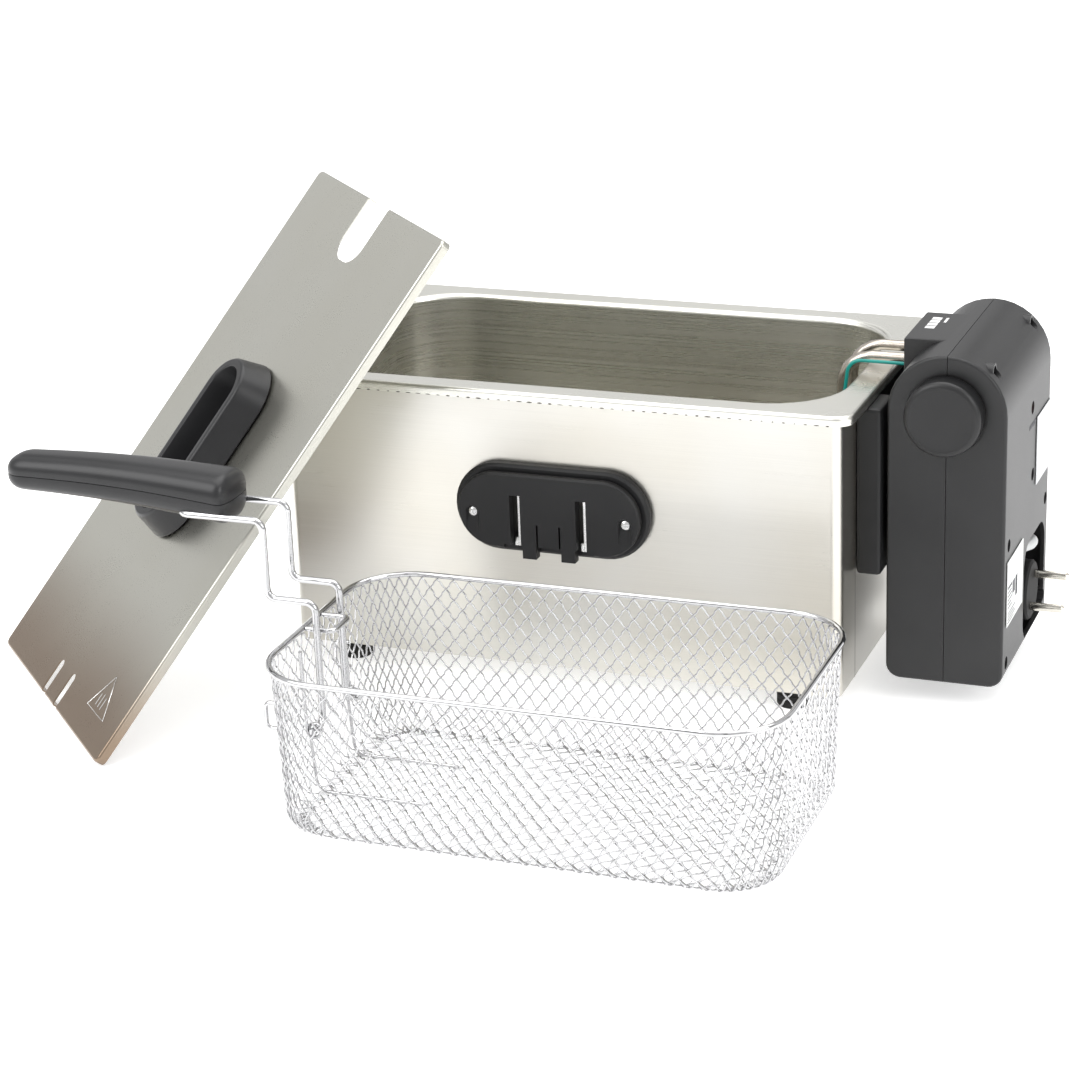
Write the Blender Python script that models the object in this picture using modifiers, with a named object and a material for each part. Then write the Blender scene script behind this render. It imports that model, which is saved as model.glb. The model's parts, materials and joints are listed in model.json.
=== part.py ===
"""A household deep fryer with a hook-on control unit, a wire basket and a loose lid.

Metres, +Z up. The layout below has the housing centred on X with its front wall at Y = 0 and the
table at Z = 0. At the end every body hangs from one empty that puts the origin at the bottom
centre of the whole object, measured without the cord.
"""

import math

import bmesh
import bpy
from mathutils import Matrix, Vector

# Driving dimensions, in metres
GAP = 0.0003  # left between pieces that touch
HOUSING_LENGTH = 0.320
HOUSING_DEPTH = 0.178
HOUSING_BOTTOM = 0.011
HOUSING_TOP = 0.1705
HOUSING_CORNER = 0.006
HOUSING_LIP = 0.012
SHEET = 0.0008

FLANGE_OVERHANG = 0.007
FLANGE_CORNER = 0.010
FLANGE_DROP = 0.0052
FLANGE_WIDTH = 0.0165
PAN_CORNER = 0.042
PAN_FLOOR = 0.046
PAN_DRAFT = 0.004
PAN_FILLET = 0.018
PAN_MOUTH_RADIUS = 0.003

FOOT_RADIUS = 0.009
FOOT_INSET_X = 0.030
FOOT_INSET_Y = 0.0135

MOUNT_DROP = 0.0650  # middle of the handle mount below the housing's top
MOUNT_LENGTH = 0.112
MOUNT_HEIGHT = 0.050
MOUNT_BASE_THICKNESS = 0.0055
MOUNT_COVER_THICKNESS = 0.0055
MOUNT_COVER_INSET = 0.0035
MOUNT_SLOT_X = 0.0190
MOUNT_SLOT_WIDTH = 0.0060
MOUNT_SLOT_LENGTH = 0.031
MOUNT_SCREW_X = 0.0440
MOUNT_LATCH_HALF = 0.0065  # half the sprung latch's width
MOUNT_LATCH_TOP = 0.0065  # latch's root below the mount's middle
MOUNT_LATCH_FOOT = 0.0195  # latch's tip below the mount's middle
MOUNT_SLIT = 0.0010
MOUNT_RIB_X = 0.0112
MOUNT_RIB_HALF = 0.0040

RAIL_WIDTH = 0.120
RAIL_THICKNESS = 0.0140
RAIL_DROP = 0.1000  # length down from the flange
RAIL_RIB_WIDTH = 0.026
RAIL_WEB = 0.0055
RAIL_FOOT = 0.013

UNIT_STANDOFF = 0.0165  # unit's inner face from the housing's end wall
UNIT_WIDTH = 0.064
UNIT_DEPTH = 0.115
UNIT_BOTTOM = 0.0137
UNIT_TOP = 0.1975
UNIT_WALL = 0.0022
UNIT_EDGE = 0.0018
UNIT_CORNER = 0.008
TONGUE_CLEARANCE = 0.0006
TONGUE_REACH = 0.0075
TONGUE_LENGTH = 0.060
ARM_WIDTH = 0.052
ARM_HEIGHT = 0.0245
ARM_TOP_DROP = 0.0012

KNOB_RADIUS = 0.0200
KNOB_HEIGHT = 0.0120
KNOB_RECESS_RADIUS = 0.0218
KNOB_RECESS_DEPTH = 0.0010
SHAFT_RADIUS = 0.0030
SHAFT_CLEARANCE = 0.0006
KNOB_DROP = -0.0007  # knob axis below the dome's axis

WINDOW_WIDTH = 0.056
WINDOW_HEIGHT = 0.057
WINDOW_CORNER = 0.014
WINDOW_REAR = 0.0068  # from the unit's rear face
WINDOW_FOOT = 0.0045  # above the unit's bottom
CEILING_HEIGHT = 0.0853  # compartment ceiling above the unit's bottom
WELL_RADIUS = 0.0036
WELL_DEPTH = 0.0080
WELL_FLOOR = 0.0020
BOSS_RADIUS = 0.0050
SCREW_HEAD = 0.0029
SCREW_SHANK = 0.0014
RESET_RADIUS = 0.0030
RESET_TRAVEL = 0.0020

TUBE_RADIUS = 0.0031
TUBE_SPREAD = 0.0110
TUBE_DROP = 0.0160  # below the arm's top
TUBE_BEND = 0.0105
TUBE_TOP_BEND = 0.0170
TUBE_WALL_GAP = 0.0075
ELEMENT_HEIGHT = 0.016  # tube axis above the pan floor
ELEMENT_PITCH = 0.030
CAPILLARY_RADIUS = 0.0010
CAPILLARY_DROP = 0.0520
CAPILLARY_BEND = 0.0080
CAPILLARY_SET = 0.0062  # capillary nearer the unit than the heater's drop, at the flange
BULB_RADIUS = 0.0025
BULB_LENGTH = 0.045

CORD_RADIUS = 0.0031
COIL_RADIUS = 0.0325
COIL_TURNS = 3.5
COIL_PITCH = 0.0063
PLUG_RADIUS = 0.0170
PLUG_THICKNESS = 0.0160
PLUG_RELIEF = 0.0200
PIN_RADIUS = 0.0024
PIN_LENGTH = 0.0190
PIN_SPACING = 0.0190

BASKET_LENGTH = 0.268
BASKET_WIDTH = 0.154
BASKET_HEIGHT = 0.088
BASKET_CORNER = 0.034
BASKET_TAPER = 0.0030
BASKET_FILLET = 0.0065
BASKET_SKIN = 0.0012
RIM_INSET = 0.0002  # basket's skin inside the rim's middle line
BASKET_CENTRE_X = 0.053
BASKET_STANDOFF = 0.0585  # rear rim from the housing's flange
RIM_RADIUS = 0.0016
SUPPORT_RADIUS = 0.0010
SUPPORT_SPREAD = 0.0235
SUPPORT_RUN = 0.062
HOOK_SPREAD = 0.0420
HOOK_REACH = 0.0080
HOOK_DROP = 0.0300  # upper leg below the rim's top
HOOK_HEIGHT = 0.0140
HOOK_RADIUS = 0.0012

ROD_RADIUS = 0.0020
ROD_SPREAD = 0.0145
ROD_INSET = 0.0100  # rods inside the rim's middle line
PIVOT_HEIGHT = 0.037
PIVOT_EYE = 0.0036
JOG_HEIGHT = 0.0165  # jog above the rim
JOG_REACH = 0.0265
RISE_HEIGHT = 0.0580  # grip rods above the rim
ROD_LEAD = 0.0200  # rods' last straight stretch before the grip
GRIP_LENGTH = 0.139
GRIP_LIFT = 0.0062  # seam above the rods
GRIP_RISE = 0.0040  # seam's climb towards the tip
ROD_HOLD = 0.0300  # rods' reach into the grip
GRIP_WIDTH = 0.030
GRIP_TIP_WIDTH = 0.022
GRIP_HEIGHT = 0.024
GRIP_TIP_HEIGHT = 0.014

LID_LENGTH = 0.3315
LID_WIDTH = 0.190
LID_SKIRT = 0.0055
LID_CORNER = 0.004
LID_EDGE_RADIUS = 0.0015
LID_TURN = 44.7  # degrees, heading of the lid's long side
LID_LEAN = 50.1  # degrees up from the table
LID_TOUCH = 0.096  # where the flange's corner meets the lid, across its width
LID_SLOT_WIDTH = 0.031
LID_SLOT_LENGTH = 0.038
LID_NOTCH_WIDTH = 0.0066
LID_NOTCH_LENGTH = 0.022
LID_NOTCH_SPREAD = 0.0115
LID_GRIP_LENGTH = 0.112
LID_GRIP_WIDTH = 0.050
LID_GRIP_HEIGHT = 0.018

# Worked out from the sizes above
MIDDLE_Y = HOUSING_DEPTH / 2
WALL_X = HOUSING_LENGTH / 2
FLANGE_TOP = HOUSING_TOP + GAP + 2 * SHEET
FLANGE_HALF_X = WALL_X + FLANGE_OVERHANG
FLANGE_HALF_Y = MIDDLE_Y + FLANGE_OVERHANG
UNIT_LEFT = WALL_X + UNIT_STANDOFF
UNIT_X = UNIT_LEFT + UNIT_WIDTH / 2
UNIT_RIGHT = UNIT_LEFT + UNIT_WIDTH
UNIT_FRONT = MIDDLE_Y - UNIT_DEPTH / 2
UNIT_REAR = MIDDLE_Y + UNIT_DEPTH / 2
DOME_Z = UNIT_TOP - UNIT_WIDTH / 2
KNOB_Z = DOME_Z - KNOB_DROP
CEILING_Z = UNIT_BOTTOM + CEILING_HEIGHT
WINDOW_Y = UNIT_REAR - WINDOW_REAR - WINDOW_WIDTH / 2
WINDOW_Z = UNIT_BOTTOM + WINDOW_FOOT + WINDOW_HEIGHT / 2
BASKET_LEFT = BASKET_CENTRE_X - BASKET_LENGTH / 2
BASKET_Y = -FLANGE_OVERHANG - BASKET_STANDOFF - BASKET_WIDTH / 2
RIM_Z = BASKET_HEIGHT - RIM_RADIUS
PIVOT_X = BASKET_LEFT + ROD_INSET

# Places on the unit's outer face: (behind its front, above its bottom)
WELLS = ((0.0112, 0.0783), (0.0100, 0.0115), (0.1074, 0.0718), (0.1070, 0.0135), (0.0700, 0.0985),
         (0.0112, 0.1735), (0.1040, 0.1735))
RESET_PLACE = (0.0665, 0.1378)
PLUG_PLACE = (0.0850, 0.0250)
PLUG_TILT = 38.0  # degrees, the pins' line from upright, towards the rear
COIL_PLACE = (0.0745, 0.0408)
COIL_INSET = 0.0550  # first turn's middle from the unit's outer face

# The cord from the plug's strain relief to the coil, as (in from the unit's outer face, behind its
# front, above its bottom)
CORD_LEAD = (
    (0.0100, 0.0481, 0.0159),
    (0.0100, 0.0420, 0.0143),
    (0.0102, 0.0295, 0.0165),
    (0.0104, 0.0200, 0.0255),
    (0.0106, 0.0172, 0.0385),
    (0.0106, 0.0217, 0.0510),
    (0.0100, 0.0310, 0.0588),
    (0.0088, 0.0420, 0.0612),
    (0.0072, 0.0540, 0.0600),
    (0.0040, 0.0680, 0.0566),
    (0.0020, 0.0790, 0.0545),
    (0.0028, 0.0880, 0.0532),
    (0.0066, 0.0965, 0.0508),
    (0.0120, 0.1028, 0.0470),
    (0.0182, 0.1060, 0.0415),
    (0.0238, 0.1066, 0.0350),
)

# Finishes: colour, roughness, metallic
FINISHES = {
    "brushed_steel": ((0.62, 0.61, 0.58), 0.38, 1.0),
    "pan_steel": ((0.66, 0.65, 0.62), 0.30, 1.0),
    "lid_steel": ((0.58, 0.56, 0.50), 0.35, 1.0),
    "heater_steel": ((0.45, 0.42, 0.38), 0.35, 1.0),
    "chrome_wire": ((0.80, 0.80, 0.80), 0.12, 1.0),
    "black_plastic": ((0.025, 0.025, 0.027), 0.42, 0.0),
    "black_rubber": ((0.02, 0.02, 0.02), 0.75, 0.0),
    "grip_plastic": ((0.022, 0.022, 0.024), 0.36, 0.0),
    "white_plastic": ((0.75, 0.74, 0.70), 0.5, 0.0),
    "teal_sleeve": ((0.0, 0.24, 0.20), 0.45, 0.0),
    "silver_label": ((0.55, 0.56, 0.57), 0.45, 0.2),
    "paper_label": ((0.80, 0.81, 0.80), 0.6, 0.0),
    "screw_steel": ((0.55, 0.55, 0.55), 0.3, 1.0),
    "cord_jacket": ((0.42, 0.43, 0.43), 0.5, 0.0),
    "pin_nickel": ((0.72, 0.70, 0.64), 0.22, 1.0),
    "red_button": ((0.35, 0.03, 0.02), 0.4, 0.0),
}


def clear_scene():
    """Removes every object, so that the script can be run twice."""
    for item in list(bpy.data.objects):
        bpy.data.objects.remove(item, do_unlink=True)


def new_collection(name):
    """Returns a collection of this name under the scene."""
    group = bpy.data.collections.new(name)
    bpy.context.scene.collection.children.link(group)
    return group


def finish(name):
    """Returns the material for a named finish."""
    found = bpy.data.materials.get(name)
    if found:
        return found
    colour, roughness, metallic = FINISHES[name]
    made = bpy.data.materials.new(name)
    made.use_nodes = True
    shader = made.node_tree.nodes["Principled BSDF"]
    shader.inputs["Base Color"].default_value = (*colour, 1.0)
    shader.inputs["Roughness"].default_value = roughness
    shader.inputs["Metallic"].default_value = metallic
    made.diffuse_color = (*colour, 1.0)
    return made


def empty(name, location=(0, 0, 0), parent=None, turn=None):
    """Returns an empty that carries a body, at its joint's axis."""
    item = bpy.data.objects.new(name, None)
    item.empty_display_size = 0.02
    PARTS.objects.link(item)
    item.parent = parent
    item.location = location
    if turn is not None:
        item.rotation_euler = turn
    return item


def place(data, name, look, body):
    """Links new geometry as the named piece of a body.

    Its points are given in the layout, so they are moved by the body's own place.
    """
    item = bpy.data.objects.new(name, data)
    group = PARTS if look else CUTTERS
    group.objects.link(item)
    if look:
        data.materials.append(finish(look))
    else:
        item.hide_render = True
        item.display_type = "WIRE"
    item.parent = body
    item.location = -PLACES[body.name]
    return item


def body_at(name, location, parent=None):
    """Returns the empty of a body whose pieces are modelled in layout coordinates."""
    origin = PLACES[parent.name] if parent else Vector((0, 0, 0))
    item = empty(name, Vector(location) - origin, parent)
    PLACES[item.name] = Vector(location)
    return item


def mesh_of(work, name):
    """Turns a bmesh into mesh data and frees it."""
    data = bpy.data.meshes.new(name)
    work.to_mesh(data)
    work.free()
    return data


def rounded_ring(half_x, half_y, corner, z, centre=(0, 0), steps=7):
    """Points of a rounded rectangle, anticlockwise from above."""
    corner = min(corner, half_x, half_y)
    points = []
    for quarter, (side_x, side_y) in enumerate(((1, 1), (-1, 1), (-1, -1), (1, -1))):
        for step in range(steps + 1):
            angle = math.radians(90 * (quarter + step / steps))
            x = centre[0] + side_x * (half_x - corner) + corner * math.cos(angle)
            y = centre[1] + side_y * (half_y - corner) + corner * math.sin(angle)
            points.append(Vector((x, y, z)))
    return points


def arch_ring(inset, y, steps=18):
    """Points of the unit's arched outline, inset from its skin, clockwise from the front."""
    half = UNIT_WIDTH / 2 - inset
    corner = max(UNIT_CORNER - inset, 0.001)
    low = UNIT_BOTTOM + inset
    points = []
    for step in range(7):
        angle = math.radians(90 * step / 6)
        points.append(Vector((UNIT_X - half + corner - corner * math.sin(angle), y,
                              low + corner - corner * math.cos(angle))))
    for step in range(steps + 1):
        angle = math.radians(180 * step / steps)
        points.append(Vector((UNIT_X - half * math.cos(angle), y, DOME_Z + half * math.sin(angle))))
    for step in range(7):
        angle = math.radians(90 * step / 6)
        points.append(Vector((UNIT_X + half - corner + corner * math.cos(angle), y,
                              low + corner - corner * math.sin(angle))))
    return points


def loft(name, rings, look, body, close_start=True, close_end=True, wall=0.0):
    """Skins a stack of rings, capped or left open, and gives an open skin its wall inwards."""
    work = bmesh.new()
    rows = [[work.verts.new(point) for point in ring] for ring in rings]
    count = len(rows[0])
    for low, high in zip(rows, rows[1:]):
        for i in range(count):
            j = (i + 1) % count
            work.faces.new((low[i], low[j], high[j], high[i]))
    if close_start:
        work.faces.new(reversed(rows[0]))
    if close_end:
        work.faces.new(rows[-1])
    bmesh.ops.remove_doubles(work, verts=work.verts, dist=1e-6)
    item = place(mesh_of(work, name), name, look, body)
    if wall:
        shell = item.modifiers.new("wall", "SOLIDIFY")
        shell.thickness = wall
        shell.offset = -1
        shell.use_even_offset = True
    return item


def box(name, low, high, look, body, bevel=0.0, segments=2):
    """A block between two corners, with its edges rounded if asked."""
    work = bmesh.new()
    bmesh.ops.create_cube(work, size=1)
    low = Vector(low)
    high = Vector(high)
    bmesh.ops.scale(work, vec=high - low, verts=work.verts)
    bmesh.ops.translate(work, vec=(low + high) / 2, verts=work.verts)
    item = place(mesh_of(work, name), name, look, body)
    if bevel:
        round_edges(item, bevel, segments)
    return item


def round_edges(item, width, segments=2, angle=40):
    """Rounds the edges sharper than an angle."""
    edge = item.modifiers.new("edges", "BEVEL")
    edge.width = width
    edge.segments = segments
    edge.limit_method = "ANGLE"
    edge.angle_limit = math.radians(angle)


def rod(name, start, end, radius, look, body, end_radius=None, sides=24):
    """A round bar or a cone between two points."""
    start = Vector(start)
    end = Vector(end)
    line = end - start
    work = bmesh.new()
    turn = line.to_track_quat("Z", "Y").to_matrix().to_4x4()
    bmesh.ops.create_cone(work, cap_ends=True, segments=sides, radius1=radius,
                          radius2=radius if end_radius is None else end_radius, depth=line.length,
                          matrix=Matrix.Translation((start + end) / 2) @ turn)
    return place(mesh_of(work, name), name, look, body)


def turned(name, profile, centre, axis, look, body, steps=24, hollow=False):
    """A turned shape: (radius, height) points from the axis out and back, spun with a Screw."""
    work = bmesh.new()
    verts = [work.verts.new((radius, 0, height)) for radius, height in profile]
    for first, second in zip(verts, verts[1:]):
        work.edges.new((first, second))
    if hollow:
        work.edges.new((verts[-1], verts[0]))
    data = mesh_of(work, name)
    item = place(data, name, look, body)
    item.location = Vector(centre) - PLACES[body.name]
    item.rotation_euler = Vector(axis).to_track_quat("Z", "Y").to_euler()
    spin = item.modifiers.new("spin", "SCREW")
    spin.steps = steps
    spin.render_steps = steps
    spin.use_merge_vertices = True
    spin.merge_threshold = 0.00001
    spin.use_normal_flip = True
    return item


def filleted(corners, radii, steps=5):
    """A path through corner points, with each bend rounded to one radius or to its own."""
    corners = [Vector(point) for point in corners]
    path = [corners[0]]
    if not isinstance(radii, list):
        radii = [radii] * (len(corners) - 2)
    for before, here, after, radius in zip(corners, corners[1:], corners[2:], radii):
        into = (here - before).normalized()
        out = (after - here).normalized()
        bend = into.angle(out)
        reach = radius * math.tan(bend / 2)
        start = here - into * reach
        normal = (out - into * into.dot(out)).normalized()
        centre = start + normal * radius
        for step in range(steps + 1):
            angle = bend * step / steps
            path.append(centre + radius * (into * math.sin(angle) - normal * math.cos(angle)))
    path.append(corners[-1])
    return path


def smooth_path(points, spacing):
    """Points at an even spacing on a smooth curve through the given ones."""
    points = [Vector(point) for point in points]
    guides = [2 * points[0] - points[1], *points, 2 * points[-1] - points[-2]]
    dense = []
    for before, here, after, beyond in zip(guides, guides[1:], guides[2:], guides[3:]):
        for step in range(16):
            t = step / 16
            dense.append(0.5 * (2 * here + (after - before) * t
                                + (2 * before - 5 * here + 4 * after - beyond) * t * t
                                + (3 * here - before - 3 * after + beyond) * t ** 3))
    dense.append(points[-1])
    length = sum((b - a).length for a, b in zip(dense, dense[1:]))
    count = max(int(length / spacing), 2)
    picked = [dense[0]]
    walked = 0.0
    for a, b in zip(dense, dense[1:]):
        walked += (b - a).length
        if walked >= length * len(picked) / count:
            picked.append(b)
    picked[-1] = dense[-1]
    return picked


def wire(name, path, radius, look, body, closed=False, resolution=2):
    """A round wire, tube or cord along a path."""
    data = bpy.data.curves.new(name, "CURVE")
    data.dimensions = "3D"
    data.bevel_depth = radius
    data.bevel_resolution = resolution
    data.use_fill_caps = not closed
    spline = data.splines.new("POLY")
    spline.points.add(len(path) - 1)
    for slot, point in zip(spline.points, path):
        slot.co = (*point, 1)
    spline.use_cyclic_u = closed
    return place(data, name, look, body)


def solid_wire(name, path, radius, body):
    """A wire turned into a closed mesh, for use as a cutter."""
    curve = wire(name + "_curve", path, radius, None, body)
    bpy.context.view_layer.update()
    data = bpy.data.meshes.new_from_object(curve)
    work = bmesh.new()
    work.from_mesh(data)
    bmesh.ops.remove_doubles(work, verts=work.verts, dist=1e-6)
    work.to_mesh(data)
    work.free()
    bpy.data.objects.remove(curve, do_unlink=True)
    return place(data, name, None, body)


def combine(item, tool, operation):
    """Adds an exact Boolean of one mesh with another."""
    step = item.modifiers.new(tool.name, "BOOLEAN")
    step.operation = operation
    step.object = tool
    step.solver = "EXACT"


def cut(item, *tools):
    """Cuts tools out of a piece."""
    for tool in tools:
        combine(item, tool, "DIFFERENCE")


def joined_rods(name, rows, body, sides=14):
    """One cutter or boss set out of several bars: rows of (start, end, radius)."""
    work = bmesh.new()
    for start, end, radius in rows:
        line = Vector(end) - Vector(start)
        turn = line.to_track_quat("Z", "Y").to_matrix().to_4x4()
        middle = (Vector(start) + Vector(end)) / 2
        bmesh.ops.create_cone(work, cap_ends=True, segments=sides, radius1=radius, radius2=radius,
                              depth=line.length, matrix=Matrix.Translation(middle) @ turn)
    return place(mesh_of(work, name), name, None, body)


# Housing ---------------------------------------------------------------------------------------

def housing_ring(inset, z):
    """The housing's outline, inset from its outer face."""
    corner = max(HOUSING_CORNER - inset, 0.001)
    return rounded_ring(WALL_X - inset, MIDDLE_Y - inset, corner, z, (0, MIDDLE_Y))


def make_outer_housing(body):
    """The folded steel box: four walls and an inward lip at the bottom."""
    bend = 0.002
    rings = [housing_ring(HOUSING_LIP, HOUSING_BOTTOM)]
    for step in range(5):
        angle = math.radians(90 * step / 4)
        rings.append(housing_ring(bend - bend * math.sin(angle),
                                  HOUSING_BOTTOM + bend - bend * math.cos(angle)))
    rings.append(housing_ring(0, HOUSING_TOP))
    loft("outer_housing", rings, "brushed_steel", body, False, False, SHEET)


def make_oil_pan(body):
    """The drawn oil pan: a rolled flange, a rounded mouth, drafted walls and a filleted floor."""
    centre = (0, MIDDLE_Y)
    roll = 0.0022

    def flange(inset, z):
        return rounded_ring(FLANGE_HALF_X - inset, FLANGE_HALF_Y - inset,
                            FLANGE_CORNER - inset / 2, z, centre, 9)

    def mouth(inset, z, corner=PAN_CORNER):
        return rounded_ring(FLANGE_HALF_X - FLANGE_WIDTH - inset,
                            FLANGE_HALF_Y - FLANGE_WIDTH - inset, corner, z, centre, 9)

    rings = [flange(0, FLANGE_TOP - FLANGE_DROP)]
    for step in range(5):
        angle = math.radians(90 * step / 4)
        rings.append(flange(roll - roll * math.cos(angle),
                            FLANGE_TOP - roll + roll * math.sin(angle)))
    rounding = PAN_MOUTH_RADIUS
    for step in range(5):
        angle = math.radians(90 * step / 4)
        rings.append(mouth(-rounding + rounding * math.sin(angle),
                           FLANGE_TOP - rounding + rounding * math.cos(angle)))
    for step in range(6):
        angle = math.radians(90 * step / 5)
        inset = PAN_DRAFT + PAN_FILLET - PAN_FILLET * math.cos(angle)
        height = PAN_FLOOR + PAN_FILLET - PAN_FILLET * math.sin(angle)
        rings.append(mouth(inset, height, PAN_CORNER - PAN_DRAFT - inset * 0.4))
    loft("oil_pan", rings, "pan_steel", body, False, True, SHEET)


def make_base(body):
    """The bottom plate inside the lip, and the four feet under it."""
    low = HOUSING_BOTTOM + SHEET + GAP
    rings = [housing_ring(SHEET + 2 * GAP, low), housing_ring(SHEET + 2 * GAP, low + SHEET)]
    loft("base_plate", rings, "brushed_steel", body)
    height = HOUSING_BOTTOM - GAP
    profile = ((0, 0), (FOOT_RADIUS * 0.8, 0), (FOOT_RADIUS * 0.9, height * 0.12),
               (FOOT_RADIUS, height * 0.85), (FOOT_RADIUS * 0.9, height), (0, height))
    for side_x, across in ((-1, "left"), (1, "right")):
        for side_y, along in ((-1, "front"), (1, "rear")):
            x = side_x * (WALL_X - FOOT_INSET_X)
            y = MIDDLE_Y + side_y * (MIDDLE_Y - FOOT_INSET_Y)
            turned(f"foot_{along}_{across}", profile, (x, y, 0), (0, 0, 1), "black_rubber", body)


def pill(half_x, half_z, y, centre_z, side):
    """A pill outline in the plane of a long wall, with the right winding for that side."""
    flat = rounded_ring(half_x, half_z, half_z, 0, steps=9)
    return [Vector((side * point.x, y, centre_z + point.y)) for point in flat]


def make_handle_mount(body, prefix, wall_y, side):
    """A two-layer pill on a long wall that a clip-on carrying handle slides up into.

    side is 1 on the front wall, whose pieces build towards -Y, and -1 on the rear wall.
    """
    centre_z = HOUSING_TOP - MOUNT_DROP
    half_x = MOUNT_LENGTH / 2
    half_z = MOUNT_HEIGHT / 2

    def at(out):
        return wall_y - side * out

    def outline(inset, out):
        return pill(half_x - inset, half_z - inset, at(out), centre_z, side)

    start = GAP
    middle = start + MOUNT_BASE_THICKNESS
    base = loft(f"{prefix}_mount_base",
                [outline(0, start), outline(0, middle - 0.0015), outline(0.0015, middle)],
                "black_plastic", body)
    first = middle + GAP
    last = first + MOUNT_COVER_THICKNESS
    inset = MOUNT_COVER_INSET
    cover = loft(f"{prefix}_mount_cover",
                 [outline(inset + 0.0020, first), outline(inset + 0.0020, first + 0.0010),
                  outline(inset, first + 0.0014), outline(inset, last - 0.0010),
                  outline(inset + 0.0010, last)],
                 "black_plastic", body)
    slot_top = centre_z + MOUNT_SLOT_LENGTH / 2 - 0.006
    slots = []
    for sign, label in ((-1, "left"), (1, "right")):
        x = sign * MOUNT_SLOT_X
        slots.append(box(f"{prefix}_{label}_slot_cutter",
                         (x - MOUNT_SLOT_WIDTH / 2, min(at(-0.002), at(last + 0.002)),
                          slot_top - MOUNT_SLOT_LENGTH),
                         (x + MOUNT_SLOT_WIDTH / 2, max(at(-0.002), at(last + 0.002)), slot_top),
                         None, body))
    cut(base, *slots)
    cut(cover, *slots)
    slit = MOUNT_SLIT
    tongue_half = MOUNT_LATCH_HALF
    tongue_top = centre_z - MOUNT_LATCH_TOP
    tongue_foot = centre_z - MOUNT_LATCH_FOOT
    out_y = sorted((at(middle + GAP / 2), at(last + 0.002)))
    for sign in (-1, 1):
        x = sign * tongue_half
        cut(cover, box(f"{prefix}_slit_cutter_{sign + 1}", (x - slit / 2, out_y[0], tongue_foot),
                       (x + slit / 2, out_y[1], tongue_top), None, body))
    cut(cover, box(f"{prefix}_slit_cutter_foot",
                   (-tongue_half - slit / 2, out_y[0], tongue_foot - 0.0016),
                   (tongue_half + slit / 2, out_y[1], tongue_foot), None, body))
    notch_half = MOUNT_SLOT_X + MOUNT_SLOT_WIDTH / 2 + 0.004
    foot_y = sorted((at(first - GAP / 2), at(last + 0.002)))
    cut(cover, box(f"{prefix}_notch_cutter", (-notch_half, foot_y[0], centre_z - half_z),
                   (notch_half, foot_y[1], centre_z - half_z + inset + 0.0022), None, body))
    rib_y = sorted((at(first), at(last)))
    for sign in (-1, 1):
        x = sign * MOUNT_RIB_X
        rib = box(f"{prefix}_rib_{sign + 1}",
                  (x - MOUNT_RIB_HALF, rib_y[0], centre_z - half_z - 0.0015),
                  (x + MOUNT_RIB_HALF, rib_y[1], centre_z - half_z + 0.0085), None, body)
        combine(cover, rib, "UNION")
    screw_z = centre_z - 0.002
    bore = joined_rods(f"{prefix}_mount_bores",
                       [((sign * MOUNT_SCREW_X, at(last - 0.0022), screw_z),
                         (sign * MOUNT_SCREW_X, at(last + 0.002), screw_z), SCREW_HEAD + GAP)
                        for sign in (-1, 1)], body)
    cut(cover, bore)
    for sign, label in ((-1, "left"), (1, "right")):
        x = sign * MOUNT_SCREW_X
        profile = ((0, 0), (SCREW_HEAD, 0), (SCREW_HEAD, 0.0006), (SCREW_HEAD * 0.7, 0.0015),
                   (0, 0.0018))
        turned(f"{prefix}_mount_screw_{label}", profile, (x, at(last - 0.0022 + GAP), screw_z),
               (0, -side, 0), "screw_steel", body, 16)


def make_guide_rail(body):
    """The black rail on the end wall whose channel guides the control unit."""
    low_x = WALL_X + GAP
    high_x = low_x + RAIL_THICKNESS
    top = FLANGE_TOP - FLANGE_DROP - 2 * GAP
    foot = top - RAIL_DROP + 0.006
    half = RAIL_WIDTH / 2
    rail = box("guide_rail", (low_x, MIDDLE_Y - half, foot), (high_x, MIDDLE_Y + half, top),
               "black_plastic", body, 0.0025)
    channel = RAIL_WIDTH / 2 - RAIL_RIB_WIDTH
    cut(rail, box("channel_cutter", (low_x + RAIL_WEB, MIDDLE_Y - channel, foot + RAIL_FOOT),
                  (high_x + 0.01, MIDDLE_Y + channel, top + 0.01), None, body))


# Control unit ----------------------------------------------------------------------------------

def unit_solid(name, look, body, inset):
    """The unit's arched block with rounded front and rear edges, inset from its skin."""
    edge = UNIT_EDGE if inset == 0 else 0.0006
    front = UNIT_FRONT + inset
    rear = UNIT_REAR - inset
    rings = []
    for step in range(4):
        angle = math.radians(90 * step / 3)
        rings.append(arch_ring(inset + edge - edge * math.sin(angle),
                               front + edge - edge * math.cos(angle)))
    for step in range(4):
        angle = math.radians(90 * step / 3)
        rings.append(arch_ring(inset + edge - edge * math.cos(angle),
                               rear - edge + edge * math.sin(angle)))
    return loft(name, rings, look, body)


def face_point(place_on_face, x):
    """A point at x, from a place given behind the unit's front and above its bottom."""
    return Vector((x, UNIT_FRONT + place_on_face[0], UNIT_BOTTOM + place_on_face[1]))


def skin_x(place_on_face):
    """Where the unit's outer skin is at a place, which is further in on the dome."""
    rise = UNIT_BOTTOM + place_on_face[1] - DOME_Z
    half = UNIT_WIDTH / 2
    return UNIT_X + (math.sqrt(half * half - rise * rise) if rise > 0 else half)


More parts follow.
